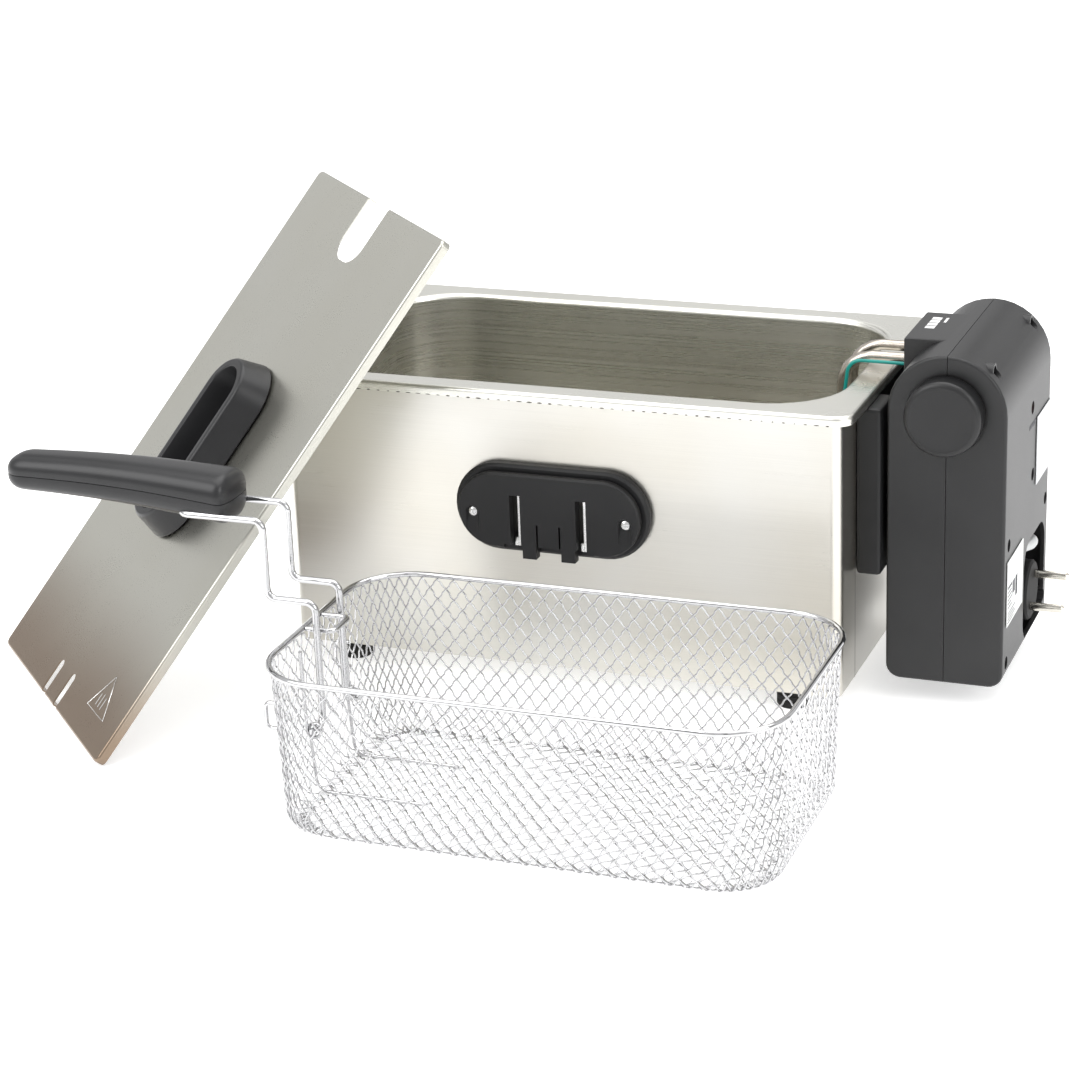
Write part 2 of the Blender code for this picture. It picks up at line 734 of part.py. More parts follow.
def make_shells(body):
    """The two half shells of the control unit, with its openings and screw wells."""
    cavity = unit_solid("unit_cavity", None, body, UNIT_WALL)
    far = 0.05
    inner_half = box("inner_half_cutter", (UNIT_X - GAP / 2, UNIT_FRONT - far, -far),
                     (UNIT_RIGHT + far, UNIT_REAR + far, UNIT_TOP + far), None, body)
    outer_half = box("outer_half_cutter", (UNIT_LEFT - far, UNIT_FRONT - far, -far),
                     (UNIT_X + GAP / 2, UNIT_REAR + far, UNIT_TOP + far), None, body)
    recess = rod("knob_recess_cutter", (UNIT_X, UNIT_FRONT - 0.01, KNOB_Z),
                 (UNIT_X, UNIT_FRONT + KNOB_RECESS_DEPTH, KNOB_Z), KNOB_RECESS_RADIUS, None, body,
                 sides=48)
    shaft = rod("shaft_cutter", (UNIT_X, UNIT_FRONT - 0.01, KNOB_Z),
                (UNIT_X, UNIT_FRONT + 0.01, KNOB_Z), SHAFT_RADIUS + SHAFT_CLEARANCE, None, body)

    inner = unit_solid("inner_shell", "black_plastic", body, 0)
    cut(inner, cavity)
    arm_top = UNIT_TOP - ARM_TOP_DROP
    arm = box("arm_block", (UNIT_LEFT + 0.001, MIDDLE_Y - ARM_WIDTH / 2, arm_top - ARM_HEIGHT),
              (UNIT_X + 0.004, MIDDLE_Y + ARM_WIDTH / 2, arm_top), None, body, 0.0012)
    combine(inner, arm, "UNION")
    foot = tongue_foot()
    half = RAIL_WIDTH / 2 - RAIL_RIB_WIDTH - TONGUE_CLEARANCE
    tongue = box("rail_tongue", (UNIT_LEFT - TONGUE_REACH, MIDDLE_Y - half, foot),
                 (UNIT_LEFT + UNIT_WALL / 2, MIDDLE_Y + half, foot + TONGUE_LENGTH), None, body)
    combine(inner, tongue, "UNION")
    bosses = joined_rods("inner_bosses", [
        (face_point(place_on, UNIT_LEFT + UNIT_WALL / 2 if place_on[1] < 0.16 else UNIT_X - 0.012),
         face_point(place_on, skin_x(place_on) - WELL_DEPTH - WELL_FLOOR - GAP), BOSS_RADIUS * 0.9)
        for place_on in WELLS[:5]], body)
    cut(inner, inner_half)
    combine(inner, bosses, "UNION")
    cut(inner, joined_rods("thread_cutter", [
        (face_point(place_on, UNIT_X), face_point(place_on, UNIT_RIGHT), SCREW_SHANK + GAP)
        for place_on in WELLS[:5]], body))
    cut(inner, recess, shaft)
    tube_z = heater_exit_z()
    cut(inner, joined_rods("tube_cutter", [
        ((UNIT_LEFT - 0.01, MIDDLE_Y + sign * TUBE_SPREAD, tube_z),
         (UNIT_LEFT + 0.012, MIDDLE_Y + sign * TUBE_SPREAD, tube_z), TUBE_RADIUS + GAP)
        for sign in (-1, 1)], body))
    capillary = capillary_exit()
    cut(inner, rod("capillary_cutter", capillary - Vector((0.01, 0, 0)),
                   capillary + Vector((0.010, 0, 0)), CAPILLARY_RADIUS + GAP, None, body))

    outer = unit_solid("outer_shell", "black_plastic", body, 0)
    cut(outer, cavity)
    wells = joined_rods("well_tubes", [
        (face_point(place_on, skin_x(place_on) - WELL_DEPTH - WELL_FLOOR),
         face_point(place_on, skin_x(place_on) - UNIT_WALL * 0.4), BOSS_RADIUS)
        for place_on in WELLS], body)
    combine(outer, wells, "UNION")
    cut(outer, outer_half)
    cut(outer, joined_rods("well_cutter", [
        (face_point(place_on, skin_x(place_on) - WELL_DEPTH),
         face_point(place_on, UNIT_RIGHT + 0.01), WELL_RADIUS) for place_on in WELLS], body))
    cut(outer, joined_rods("shank_cutter", [
        (face_point(place_on, skin_x(place_on) - WELL_DEPTH - 0.006),
         face_point(place_on, UNIT_RIGHT), SCREW_SHANK + GAP) for place_on in WELLS], body, 12))
    cut(outer, rod("reset_cutter", face_point(RESET_PLACE, UNIT_RIGHT - 0.006),
                   face_point(RESET_PLACE, UNIT_RIGHT + 0.006), RESET_RADIUS + 2 * GAP, None, body))
    ring = rounded_ring(WINDOW_WIDTH / 2, WINDOW_HEIGHT / 2, WINDOW_CORNER, 0, steps=7)
    window = loft("window_cutter", [[Vector((x, WINDOW_Y + point.x, WINDOW_Z + point.y))
                                     for point in ring]
                                    for x in (UNIT_RIGHT - 0.008, UNIT_RIGHT + 0.008)],
                  None, body)
    cut(outer, window)
    cut(outer, recess, shaft)


def tongue_foot():
    """The height of the tongue's foot, just above the channel's own floor."""
    rail_foot = FLANGE_TOP - FLANGE_DROP - 2 * GAP - RAIL_DROP + 0.006
    return rail_foot + RAIL_FOOT + 2 * GAP


def heater_exit_z():
    """The height at which the heater tubes cross the flange."""
    return UNIT_TOP - ARM_TOP_DROP - TUBE_DROP


def capillary_exit():
    """Where the sensor's capillary leaves the arm."""
    return Vector((UNIT_LEFT + 0.001, MIDDLE_Y - ARM_WIDTH / 2 + 0.0055, heater_exit_z()))


def make_shell_screws(body):
    """One screw in each well of the outer shell."""
    for index, place_on in enumerate(WELLS):
        start = face_point(place_on, skin_x(place_on) - WELL_DEPTH + GAP)
        length = 0.0085
        profile = ((0, -length), (SCREW_SHANK, -length), (SCREW_SHANK, 0), (SCREW_HEAD, 0),
                   (SCREW_HEAD, 0.0008), (SCREW_HEAD * 0.7, 0.0018), (0, 0.0021))
        turned(f"shell_screw_{index + 1}", profile, start, (1, 0, 0), "screw_steel", body, 16)


def make_heater(body):
    """The four-pass tubular heater, its clamp strip, the capillary and the sensor bulb."""
    drop_x = FLANGE_HALF_X - FLANGE_WIDTH - TUBE_WALL_GAP - TUBE_RADIUS
    top = heater_exit_z()
    low = PAN_FLOOR + ELEMENT_HEIGHT
    right = drop_x - 0.034
    left = -right - 0.004
    lanes = [MIDDLE_Y + ELEMENT_PITCH * (1.5 - lane) for lane in range(4)]
    start_x = UNIT_LEFT + 0.009
    corners = [(start_x, MIDDLE_Y + TUBE_SPREAD, top), (drop_x, MIDDLE_Y + TUBE_SPREAD, top),
               (drop_x, MIDDLE_Y + TUBE_SPREAD, low), (right, lanes[0], low),
               (left, lanes[0], low), (left, lanes[1], low), (right, lanes[1], low),
               (right, lanes[2], low), (left, lanes[2], low), (left, lanes[3], low),
               (right, lanes[3], low), (drop_x, MIDDLE_Y - TUBE_SPREAD, low),
               (drop_x, MIDDLE_Y - TUBE_SPREAD, top), (start_x, MIDDLE_Y - TUBE_SPREAD, top)]
    bends = [TUBE_TOP_BEND] + [TUBE_BEND] * (len(corners) - 4) + [TUBE_TOP_BEND]
    wire("heating_element", filleted(corners, bends), TUBE_RADIUS, "heater_steel", body)
    strip_low = low + TUBE_RADIUS + GAP
    box("element_clamp", (-0.006, lanes[3] - 0.006, strip_low),
        (0.006, lanes[0] + 0.006, strip_low + 0.0015), "heater_steel", body, 0.0004)
    start = capillary_exit() + Vector((0.008, 0, 0))
    low_end = Vector((drop_x, start.y, start.z - CAPILLARY_DROP))
    bend = [start, (drop_x + CAPILLARY_SET, start.y, start.z), low_end]
    wire("capillary", filleted(bend, CAPILLARY_BEND, 8), CAPILLARY_RADIUS, "teal_sleeve", body)
    head = low_end - Vector((0, 0, GAP))
    rod("sensor_bulb", head, head - Vector((0, 0, BULB_LENGTH)), BULB_RADIUS, "heater_steel", body,
        sides=20)


def make_electrics(body):
    """The works behind the ceiling of the cord compartment."""
    front = UNIT_FRONT + UNIT_WALL
    body_low = front + 0.007
    thermostat = box("thermostat_body", (UNIT_X - 0.014, body_low, KNOB_Z - 0.013),
                     (UNIT_X + 0.010, body_low + 0.020, KNOB_Z + 0.013), "white_plastic", body,
                     0.0010)
    cut(thermostat, rod("thermostat_bore", (UNIT_X, body_low - 0.01, KNOB_Z),
                        (UNIT_X, body_low + 0.006, KNOB_Z), SHAFT_RADIUS + SHAFT_CLEARANCE, None,
                        body))
    reset = face_point(RESET_PLACE, UNIT_RIGHT - UNIT_WALL - 0.0105)
    rod("thermal_cutout", reset - Vector((0.012, 0, 0)), reset, 0.009, "white_plastic", body)
    low = CEILING_Z + 0.0015 + GAP
    place_y = UNIT_REAR - 0.040
    box("terminal_block", (UNIT_LEFT + UNIT_WALL + 0.006, place_y, low),
        (UNIT_LEFT + UNIT_WALL + 0.018, place_y + 0.026, low + 0.014), "white_plastic", body, 0.0008)
    inset = UNIT_WALL + GAP
    ceiling = box("compartment_ceiling", (UNIT_LEFT + inset, UNIT_FRONT + inset, CEILING_Z),
                  (UNIT_RIGHT - inset, UNIT_REAR - inset, CEILING_Z + 0.0015), "black_plastic",
                  body)
    exit_point = cord_exit()
    cut(ceiling, rod("gland_cutter", exit_point, exit_point + Vector((0, 0, 0.06)), 0.0055 + GAP,
                     None, body))
    for place_on in WELLS[4:5]:
        cut(ceiling, rod("boss_clearance", face_point(place_on, UNIT_LEFT - 0.01),
                         face_point(place_on, UNIT_RIGHT + 0.01), BOSS_RADIUS + GAP, None, body))
    height = CEILING_Z - exit_point.z
    profile = ((0, 0), (CORD_RADIUS + 0.0009, 0), (0.0052, height - 2 * GAP),
               (0.0052, height + 0.006), (0, height + 0.006))
    turned("cord_gland", profile, exit_point, (0, 0, 1), "black_rubber", body, 20)


def coil_centre():
    """The middle of the cord's coil, at its first turn."""
    return face_point(COIL_PLACE, UNIT_RIGHT - COIL_INSET)


def cord_exit():
    """Where the cord leaves its gland, straight above the coil's front side."""
    centre = coil_centre()
    return Vector((centre.x, centre.y - COIL_RADIUS, centre.z + 0.0265))


def plug_centre():
    """The middle of the plug's front face, level with the unit's outer face."""
    return face_point(PLUG_PLACE, UNIT_RIGHT - 0.0015)


def make_cord(body):
    """The stowed mains lead: a coil, the stretch to the plug, and the plug with its two pins."""
    centre = coil_centre()
    half = COIL_TURNS * COIL_PITCH
    outer = COIL_RADIUS + CORD_RADIUS
    inner = COIL_RADIUS - CORD_RADIUS
    profile = ((inner, -CORD_RADIUS), (outer, -CORD_RADIUS), (outer, half + CORD_RADIUS),
               (inner, half + CORD_RADIUS))
    turned("cord_coil", profile, centre, (1, 0, 0), "cord_jacket", body, 40, hollow=True)
    drop = cord_exit() - Vector((0, 0, GAP))
    wire("cord_tail", [drop, drop - Vector((0, 0, 0.0055))], CORD_RADIUS, "cord_jacket", body)
    route = [face_point(point[1:], UNIT_RIGHT - point[0]) for point in CORD_LEAD]
    wire("cord_lead", smooth_path(route, CORD_RADIUS * 1.6), CORD_RADIUS, "cord_jacket", body)
    face = plug_centre()
    depth = PLUG_THICKNESS
    profile = ((0, -depth), (PLUG_RADIUS - 0.003, -depth), (PLUG_RADIUS, -depth + 0.003),
               (PLUG_RADIUS, -0.0012), (PLUG_RADIUS - 0.0012, 0), (0, 0))
    plug = turned("plug_body", profile, face, (1, 0, 0), "black_rubber", body, 40)
    end = route[0]
    middle = face - Vector((depth / 2, 0, 0))
    lead_out = (end - Vector((middle.x, middle.y, middle.z))).normalized()
    relief_end = end - lead_out * GAP
    relief_start = relief_end - lead_out * PLUG_RELIEF
    neck = rod("plug_neck", middle, relief_start + lead_out * 0.002, 0.0060, None, body)
    relief = rod("plug_relief", relief_start, relief_end, 0.0055, None, body, CORD_RADIUS + 0.0006)
    combine(plug, neck, "UNION")
    combine(plug, relief, "UNION")
    tilt = math.radians(PLUG_TILT)
    across = Vector((0, math.sin(tilt), math.cos(tilt))) * PIN_SPACING / 2
    for sign, label in ((1, "upper"), (-1, "lower")):
        foot = face + across * sign + Vector((GAP, 0, 0))
        profile = ((0, 0), (PIN_RADIUS, 0), (PIN_RADIUS, PIN_LENGTH - 0.0015),
                   (PIN_RADIUS * 0.55, PIN_LENGTH), (0, PIN_LENGTH))
        turned(f"plug_pin_{label}", profile, foot, (1, 0, 0), "pin_nickel", body, 20)


def make_labels(body):
    """A blank type plate high on the outer face and a blank sticker low at its front."""
    x = UNIT_RIGHT + GAP
    for name, look, low, high in (
            ("type_plate", "silver_label", (0.0770, 0.0900), (0.1140, 0.1290)),
            ("rating_sticker", "paper_label", (0.0065, 0.0330), (0.0460, 0.0700))):
        first = face_point(low, x)
        last = face_point(high, x + 0.0004)
        box(name, first, last, look, body)


def make_knob(unit):
    """The thermostat's knob and its shaft, on their own axis."""
    body = body_at("knob_axis", (UNIT_X, UNIT_FRONT, KNOB_Z), unit)
    back = -(KNOB_RECESS_DEPTH - GAP)
    top = KNOB_HEIGHT
    rim = 0.0012
    profile = ((0, back), (KNOB_RADIUS + 0.0006, back), (KNOB_RADIUS, top - rim),
               (KNOB_RADIUS - rim * 0.3, top - rim * 0.3), (KNOB_RADIUS - rim, top), (0, top))
    cap = turned("knob_cap", profile, (UNIT_X, UNIT_FRONT, KNOB_Z), (0, -1, 0), "black_plastic",
                 body, 48)
    cut(cap, rod("knob_bore", (UNIT_X, UNIT_FRONT - back + 0.001, KNOB_Z),
                 (UNIT_X, UNIT_FRONT - 0.006, KNOB_Z), SHAFT_RADIUS + 0.0002, None, body))
    rod("knob_shaft", (UNIT_X, UNIT_FRONT - 0.0055, KNOB_Z),
        (UNIT_X, UNIT_FRONT + UNIT_WALL + 0.013, KNOB_Z), SHAFT_RADIUS, "screw_steel", body)


def make_reset_button(unit):
    """The recessed reset button of the thermal cut-out."""
    start = face_point(RESET_PLACE, UNIT_RIGHT - UNIT_WALL - 0.0105 + RESET_TRAVEL + GAP)
    body = body_at("reset_axis", start, unit)
    profile = ((0, 0), (RESET_RADIUS, 0), (RESET_RADIUS, 0.0080), (RESET_RADIUS - 0.0006, 0.0088),
               (0, 0.0088))
    turned("reset_button", profile, start, (1, 0, 0), "red_button", body, 20)


# Basket ----------------------------------------------------------------------------------------

def basket_ring(inset, z, corner=BASKET_CORNER):
    """The basket's outline at a height, inset from the rim's middle line."""
    return rounded_ring(BASKET_LENGTH / 2 - inset, BASKET_WIDTH / 2 - inset, corner - inset, z,
                        (BASKET_CENTRE_X, BASKET_Y), 8)


def make_basket(body):
    """The basket's wire rim, its mesh as one thin shell, and the fittings at its left end."""
    rim = basket_ring(0, RIM_Z)
    wire("basket_rim", rim, RIM_RADIUS, "chrome_wire", body, closed=True)
    top = RIM_Z - RIM_RADIUS - GAP
    rings = []
    for step in range(4):
        angle = math.radians(90 * step / 3)
        inset = BASKET_TAPER + BASKET_FILLET - BASKET_FILLET * math.sin(angle)
        rings.append(basket_ring(inset, BASKET_FILLET - BASKET_FILLET * math.cos(angle),
                                 BASKET_CORNER))
    rings.append(basket_ring(RIM_INSET, top))
    loft("basket_mesh", rings, "chrome_wire", body, True, False, BASKET_SKIN)
    reach = 0.0150
    half = ROD_SPREAD - ROD_RADIUS - RIM_RADIUS - 0.0009
    start_x = BASKET_LEFT + RIM_RADIUS + GAP
    corners = [(start_x, BASKET_Y - half, RIM_Z), (start_x + reach, BASKET_Y - half, RIM_Z),
               (start_x + reach, BASKET_Y + half, RIM_Z), (start_x, BASKET_Y + half, RIM_Z)]
    wire("handle_bracket", filleted(corners, 0.0035), RIM_RADIUS * 0.9, "chrome_wire", body)
    wall_x = BASKET_LEFT + BASKET_TAPER + BASKET_SKIN + SUPPORT_RADIUS + GAP
    floor_z = BASKET_SKIN + SUPPORT_RADIUS + GAP
    for sign, label in ((-1, "front"), (1, "rear")):
        path = support_path(wall_x, floor_z, BASKET_Y + sign * SUPPORT_SPREAD, sign, top)
        wire(f"support_wire_{label}", path, SUPPORT_RADIUS, "chrome_wire", body)
        make_drain_hook(body, label, BASKET_Y + sign * HOOK_SPREAD)


def support_path(wall_x, floor_z, y, sign, top):
    """A wire along the floor and up the end wall, wound once round the handle's pivot pin."""
    bend = BASKET_FILLET
    path = filleted([(wall_x + SUPPORT_RUN, y, floor_z), (wall_x + 0.003, y, floor_z),
                     (wall_x + 0.003, y, PIVOT_HEIGHT - PIVOT_EYE)], bend)[:-1]
    for step in range(17):
        angle = math.radians(180 + 22.5 * step)
        path.append(Vector((PIVOT_X + PIVOT_EYE * math.cos(angle),
                            y + sign * 0.0026 * step / 16,
                            PIVOT_HEIGHT - PIVOT_EYE * math.sin(angle))))
    path.append(Vector((wall_x, y + sign * 0.0026, top - 0.004)))
    return path


def basket_wall_x(height):
    """The outside of the basket's left end wall at a height."""
    top = RIM_Z - RIM_RADIUS - GAP
    share = (top - height) / (top - BASKET_FILLET)
    return BASKET_LEFT + RIM_INSET + (BASKET_TAPER - RIM_INSET) * share


def make_drain_hook(body, label, y):
    """A staple on the outside of the end wall that hangs the basket on the pan's flange."""
    upper = BASKET_HEIGHT - HOOK_DROP
    lower = upper - HOOK_HEIGHT
    reach_x = BASKET_LEFT - HOOK_REACH
    corners = [(basket_wall_x(upper) - 2 * GAP, y, upper), (reach_x, y, upper),
               (reach_x, y, lower), (basket_wall_x(lower) - 2 * GAP, y, lower)]
    wire(f"drain_hook_{label}", filleted(corners, 0.0030, 4), HOOK_RADIUS, "chrome_wire", body)


def make_handle(basket):
    """The folding handle: one bent wire pivoting near the basket's floor, and a two-part grip."""
    body = body_at("handle_pivot", (PIVOT_X, BASKET_Y, PIVOT_HEIGHT), basket)
    jog_z = RIM_Z + JOG_HEIGHT
    rise_z = RIM_Z + RISE_HEIGHT
    jog_x = PIVOT_X - JOG_REACH
    grip_x = jog_x - ROD_LEAD + 0.0035
    pin_y = SUPPORT_SPREAD + 0.0045
    corners = []
    for sign in (-1, 1):
        y = BASKET_Y + sign * ROD_SPREAD
        pin = [(PIVOT_X, BASKET_Y + sign * pin_y, PIVOT_HEIGHT),
               (PIVOT_X, y, PIVOT_HEIGHT), (PIVOT_X, y, jog_z), (jog_x, y, jog_z),
               (jog_x, y, rise_z), (grip_x - ROD_HOLD, y, rise_z)]
        corners += pin if sign < 0 else reversed(pin)
    path = filleted(corners, 0.0050, 4)
    wire("handle_wire", path, ROD_RADIUS, "chrome_wire", body)
    make_grip(body, grip_x, rise_z, solid_wire("grip_wire_cutter", path, ROD_RADIUS + GAP, body))


def grip_section(t, part):
    """Half width, top and bottom of the grip at a share t of its length from the rods."""
    ends = math.sin(math.pi * min(t / 0.12, 1) / 2) ** 0.5 if t < 0.12 else 1.0
    tip = math.sqrt(max(1 - max((t - 0.90) / 0.1, 0) ** 2, 0))
    squeeze = max(min(ends, tip), 0.05)
    width = (GRIP_WIDTH + (GRIP_TIP_WIDTH - GRIP_WIDTH) * t) / 2 * squeeze
    height = (GRIP_HEIGHT + (GRIP_TIP_HEIGHT - GRIP_HEIGHT) * t)
    return width, height * 0.5 * squeeze * part


def make_grip(body, end_x, rod_z, wire_cutter):
    """The grip's upper and lower halves, split along the seam."""
    for name, part in (("grip_upper", 1), ("grip_lower", -1)):
        rings = []
        count = 14
        for index in range(count + 1):
            t = 0.5 - 0.5 * math.cos(math.pi * index / count)
            t = min(max(t, 0.004), 0.996)
            width, depth = grip_section(t, 1)
            x = end_x - GRIP_LENGTH * t
            seam = rod_z + GRIP_LIFT + GRIP_RISE * t + part * GAP / 2
            ring = []
            for step in range(13):
                angle = math.pi * step / 12
                flat = abs(math.sin(angle)) ** 0.6
                ring.append(Vector((x, BASKET_Y + part * width * math.cos(angle),
                                    seam + part * depth * flat)))
            rings.append(ring)
        cut(loft(name, rings, "grip_plastic", body), wire_cutter)


# Lid -------------------------------------------------------------------------------------------

def lid_directions():
    """The lid's own axes: across, up its length, and out of its top face."""
    turn = math.radians(LID_TURN)
    lean = math.radians(LID_LEAN)
    across = Vector((math.sin(turn), -math.cos(turn), 0))
    along = Vector((math.cos(turn) * math.cos(lean), math.sin(turn) * math.cos(lean),
                    math.sin(lean)))
    return across, along, across.cross(along)


def lid_body(parent):
    """The lid's empty: its lower edge is on the table and its back leans on the flange's corner."""
    across, along, out = lid_directions()
    lean_x = -FLANGE_HALF_X + FLANGE_CORNER * (1 - math.sqrt(0.5))
    lean_y = -FLANGE_OVERHANG + FLANGE_CORNER * (1 - math.sqrt(0.5))
    touch = Vector((lean_x, lean_y, FLANGE_TOP))
    clear = SHEET + 2 * GAP
    low = LID_SKIRT * out.z + GAP
    up_slope = (touch.z - low + clear * out.z) / along.z
    corner = touch + out * clear - across * LID_TOUCH - along * up_slope
    frame = Matrix((across, along, out)).transposed()
    item = empty("lid_frame", corner, parent, frame.to_euler())
    PLACES[item.name] = Vector((0, 0, 0))
    return item


def make_lid(parent):
    """The lid plate with its folded edge, slots and recessed grip, modelled lying flat."""
    body = lid_body(parent)
    centre = (LID_WIDTH / 2, LID_LENGTH / 2)

    def outline(inset, z):
        return rounded_ring(LID_WIDTH / 2 - inset, LID_LENGTH / 2 - inset, LID_CORNER - inset, z,
                            centre, 4)

    rings = [outline(0, -LID_SKIRT)]
    for step in range(4):
        angle = math.radians(90 * step / 3)
        rings.append(outline(LID_EDGE_RADIUS - LID_EDGE_RADIUS * math.cos(angle),
                             -LID_EDGE_RADIUS + LID_EDGE_RADIUS * math.sin(angle)))
    plate = loft("lid_plate", rings, "lid_steel", body, False, True, SHEET)
    cut(plate, *lid_slot_cutters(body, centre[0]))
    make_lid_grip(body, centre)


def lid_slot_cutters(body, middle):
    """Cutters for the wide slot at the unit's end and the two narrow ones for the handle's wires."""
    tools = []
    far = 0.02
    for name, x, half, start, end in (
            ("lid_slot_cutter", middle, LID_SLOT_WIDTH / 2, LID_LENGTH - LID_SLOT_LENGTH,
             LID_LENGTH + far),
            ("lid_notch_cutter_0", middle - LID_NOTCH_SPREAD, LID_NOTCH_WIDTH / 2, -far,
             LID_NOTCH_LENGTH),
            ("lid_notch_cutter_1", middle + LID_NOTCH_SPREAD, LID_NOTCH_WIDTH / 2, -far,
             LID_NOTCH_LENGTH)):
        round_end = min(half, 0.012) * 0.98
        rings = [rounded_ring(half, (end - start) / 2, round_end, z, (x, (start + end) / 2), 6)
                 for z in (-far, far)]
        tools.append(loft(name, rings, None, body))
    return tools


def make_lid_grip(body, centre):
    """The pill-shaped grip with sloped sides and a deep well, and its two screws."""
    half_x = LID_GRIP_WIDTH / 2
    half_y = LID_GRIP_LENGTH / 2
    rim = 0.0040
    top = LID_GRIP_HEIGHT

    def outline(inset, z):
        return rounded_ring(half_x - inset, half_y - inset, half_x - inset, z, centre, 8)

    rings = [outline(0.0010, GAP), outline(0, GAP + 0.0012), outline(0.0042, top - 0.0016),
             outline(0.0052, top - 0.0004), outline(0.0062, top), outline(0.0052 + rim, top),
             outline(0.0058 + rim, top - 0.0008), outline(0.0080 + rim, 0.0050),
             outline(0.0092 + rim, 0.0036)]
    loft("lid_grip", rings, "grip_plastic", body)
    for sign, label in ((-1, "lower"), (1, "upper")):
        spot = Vector((centre[0], centre[1] + sign * 0.034, -SHEET - GAP))
        profile = ((0, 0), (0.0042, 0), (0.0042, 0.0008), (0.0028, 0.0022), (0, 0.0025))
        turned(f"lid_screw_{label}", profile, spot, (0, 0, -1), "screw_steel", body, 20)


# Whole object ----------------------------------------------------------------------------------

CORD_NODES = ("cord_tail", "cord_coil", "cord_lead", "plug_body", "plug_pin_upper", "plug_pin_lower",
              "cord_gland")


def centre_everything(root):
    """Moves the whole layout so that the origin is at its bottom centre without the cord."""
    bpy.context.view_layer.update()
    graph = bpy.context.evaluated_depsgraph_get()
    low = Vector((1e9, 1e9, 1e9))
    high = -low
    for item in PARTS.objects:
        if item.type == "EMPTY" or item.name in CORD_NODES:
            continue
        final = item.evaluated_get(graph)
        shape = final.to_mesh()
        for vertex in shape.vertices:
            point = final.matrix_world @ vertex.co
            low = Vector(map(min, low, point))
            high = Vector(map(max, high, point))
        final.to_mesh_clear()
    root.location = (-(low.x + high.x) / 2, -(low.y + high.y) / 2, -low.z)
    bpy.context.view_layer.update()


def main():
    """Builds every body and then centres the object."""
    root = body_at("deep_fryer", (0, 0, 0))
    make_outer_housing(root)
    make_oil_pan(root)
    make_base(root)
    make_handle_mount(root, "front", 0.0, 1)
    make_handle_mount(root, "rear", HOUSING_DEPTH, -1)
    make_guide_rail(root)
    unit = body_at("control_unit", (UNIT_X, MIDDLE_Y, UNIT_BOTTOM), root)
    make_shells(unit)
    make_shell_screws(unit)
    make_heater(unit)
    make_electrics(unit)
    make_cord(unit)
    make_labels(unit)
    make_knob(unit)
    make_reset_button(unit)
    basket = body_at("basket", (BASKET_CENTRE_X, BASKET_Y, 0), root)
    make_basket(basket)
    make_handle(basket)
    make_lid(root)
    centre_everything(root)


clear_scene()
PARTS = new_collection("deep_fryer")
CUTTERS = new_collection("cutters")
PLACES = {}
main()
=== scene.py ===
"""Looks of a household deep fryer with its basket, lid and hook-on control unit.

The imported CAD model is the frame. This script gives every piece its finish, rebuilds the woven
basket, the stowed lead and the moulded grips in detail, and sets up a plain studio.
"""

import json
import logging
import math
from collections.abc import Iterable, Sequence
from dataclasses import dataclass, field, replace
from enum import Enum

import bmesh
import bpy
from mathutils import Matrix, Vector

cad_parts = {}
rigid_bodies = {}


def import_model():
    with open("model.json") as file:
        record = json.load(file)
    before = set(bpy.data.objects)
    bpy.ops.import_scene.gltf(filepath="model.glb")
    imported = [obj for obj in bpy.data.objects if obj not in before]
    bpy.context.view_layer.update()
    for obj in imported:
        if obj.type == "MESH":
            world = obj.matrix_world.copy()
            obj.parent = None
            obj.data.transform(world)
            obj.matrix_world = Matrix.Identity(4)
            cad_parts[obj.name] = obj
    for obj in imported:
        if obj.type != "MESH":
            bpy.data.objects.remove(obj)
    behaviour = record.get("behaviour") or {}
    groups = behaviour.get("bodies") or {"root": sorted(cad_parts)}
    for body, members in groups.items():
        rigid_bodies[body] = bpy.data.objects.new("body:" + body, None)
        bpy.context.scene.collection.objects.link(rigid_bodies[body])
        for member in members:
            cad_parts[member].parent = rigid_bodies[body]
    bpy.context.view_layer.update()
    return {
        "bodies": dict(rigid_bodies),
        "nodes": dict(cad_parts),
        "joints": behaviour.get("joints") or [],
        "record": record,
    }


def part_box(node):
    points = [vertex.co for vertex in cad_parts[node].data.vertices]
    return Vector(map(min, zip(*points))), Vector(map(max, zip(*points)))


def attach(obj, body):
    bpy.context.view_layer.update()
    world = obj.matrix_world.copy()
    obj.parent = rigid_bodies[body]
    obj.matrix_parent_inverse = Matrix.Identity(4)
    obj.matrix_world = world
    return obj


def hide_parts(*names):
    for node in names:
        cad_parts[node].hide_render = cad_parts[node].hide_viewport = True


LOG = logging.getLogger("deep_fryer")
FLAT_WITHIN = 0.4  # degrees between faces that count as one flat face


class Body(Enum):
    """The rigid bodies that pieces ride on."""

    FRYER = "fryer_body"
    UNIT = "control_unit"
    KNOB = "thermostat_knob"
    RESET = "reset_plunger"
    BASKET = "fry_basket"
    HANDLE = "basket_handle"
    LID = "lid"


# Shader maths ----------------------------------------------------------------------------------


class Signal:
    """A shader value that is added to, multiplied and compared as in plain maths."""

    def __init__(self, graph: "Graph", socket: bpy.types.NodeSocket) -> None:
        """Wraps an output socket of a graph."""
        self.graph = graph
        self.socket = socket

    def __add__(self, other: "Signal | float") -> "Signal":
        """Adds."""
        return self.graph.maths("ADD", self, other)

    def __sub__(self, other: "Signal | float") -> "Signal":
        """Subtracts."""
        return self.graph.maths("SUBTRACT", self, other)

    def __rsub__(self, other: "Signal | float") -> "Signal":
        """Subtracts from a number."""
        return self.graph.maths("SUBTRACT", other, self)

    def __mul__(self, other: "Signal | float") -> "Signal":
        """Multiplies."""
        return self.graph.maths("MULTIPLY", self, other)

    __rmul__ = __mul__

    def clamp(self) -> "Signal":
        """Keeps the value between 0 and 1."""
        return self.graph.maths("ADD", self, 0.0, clamp=True)


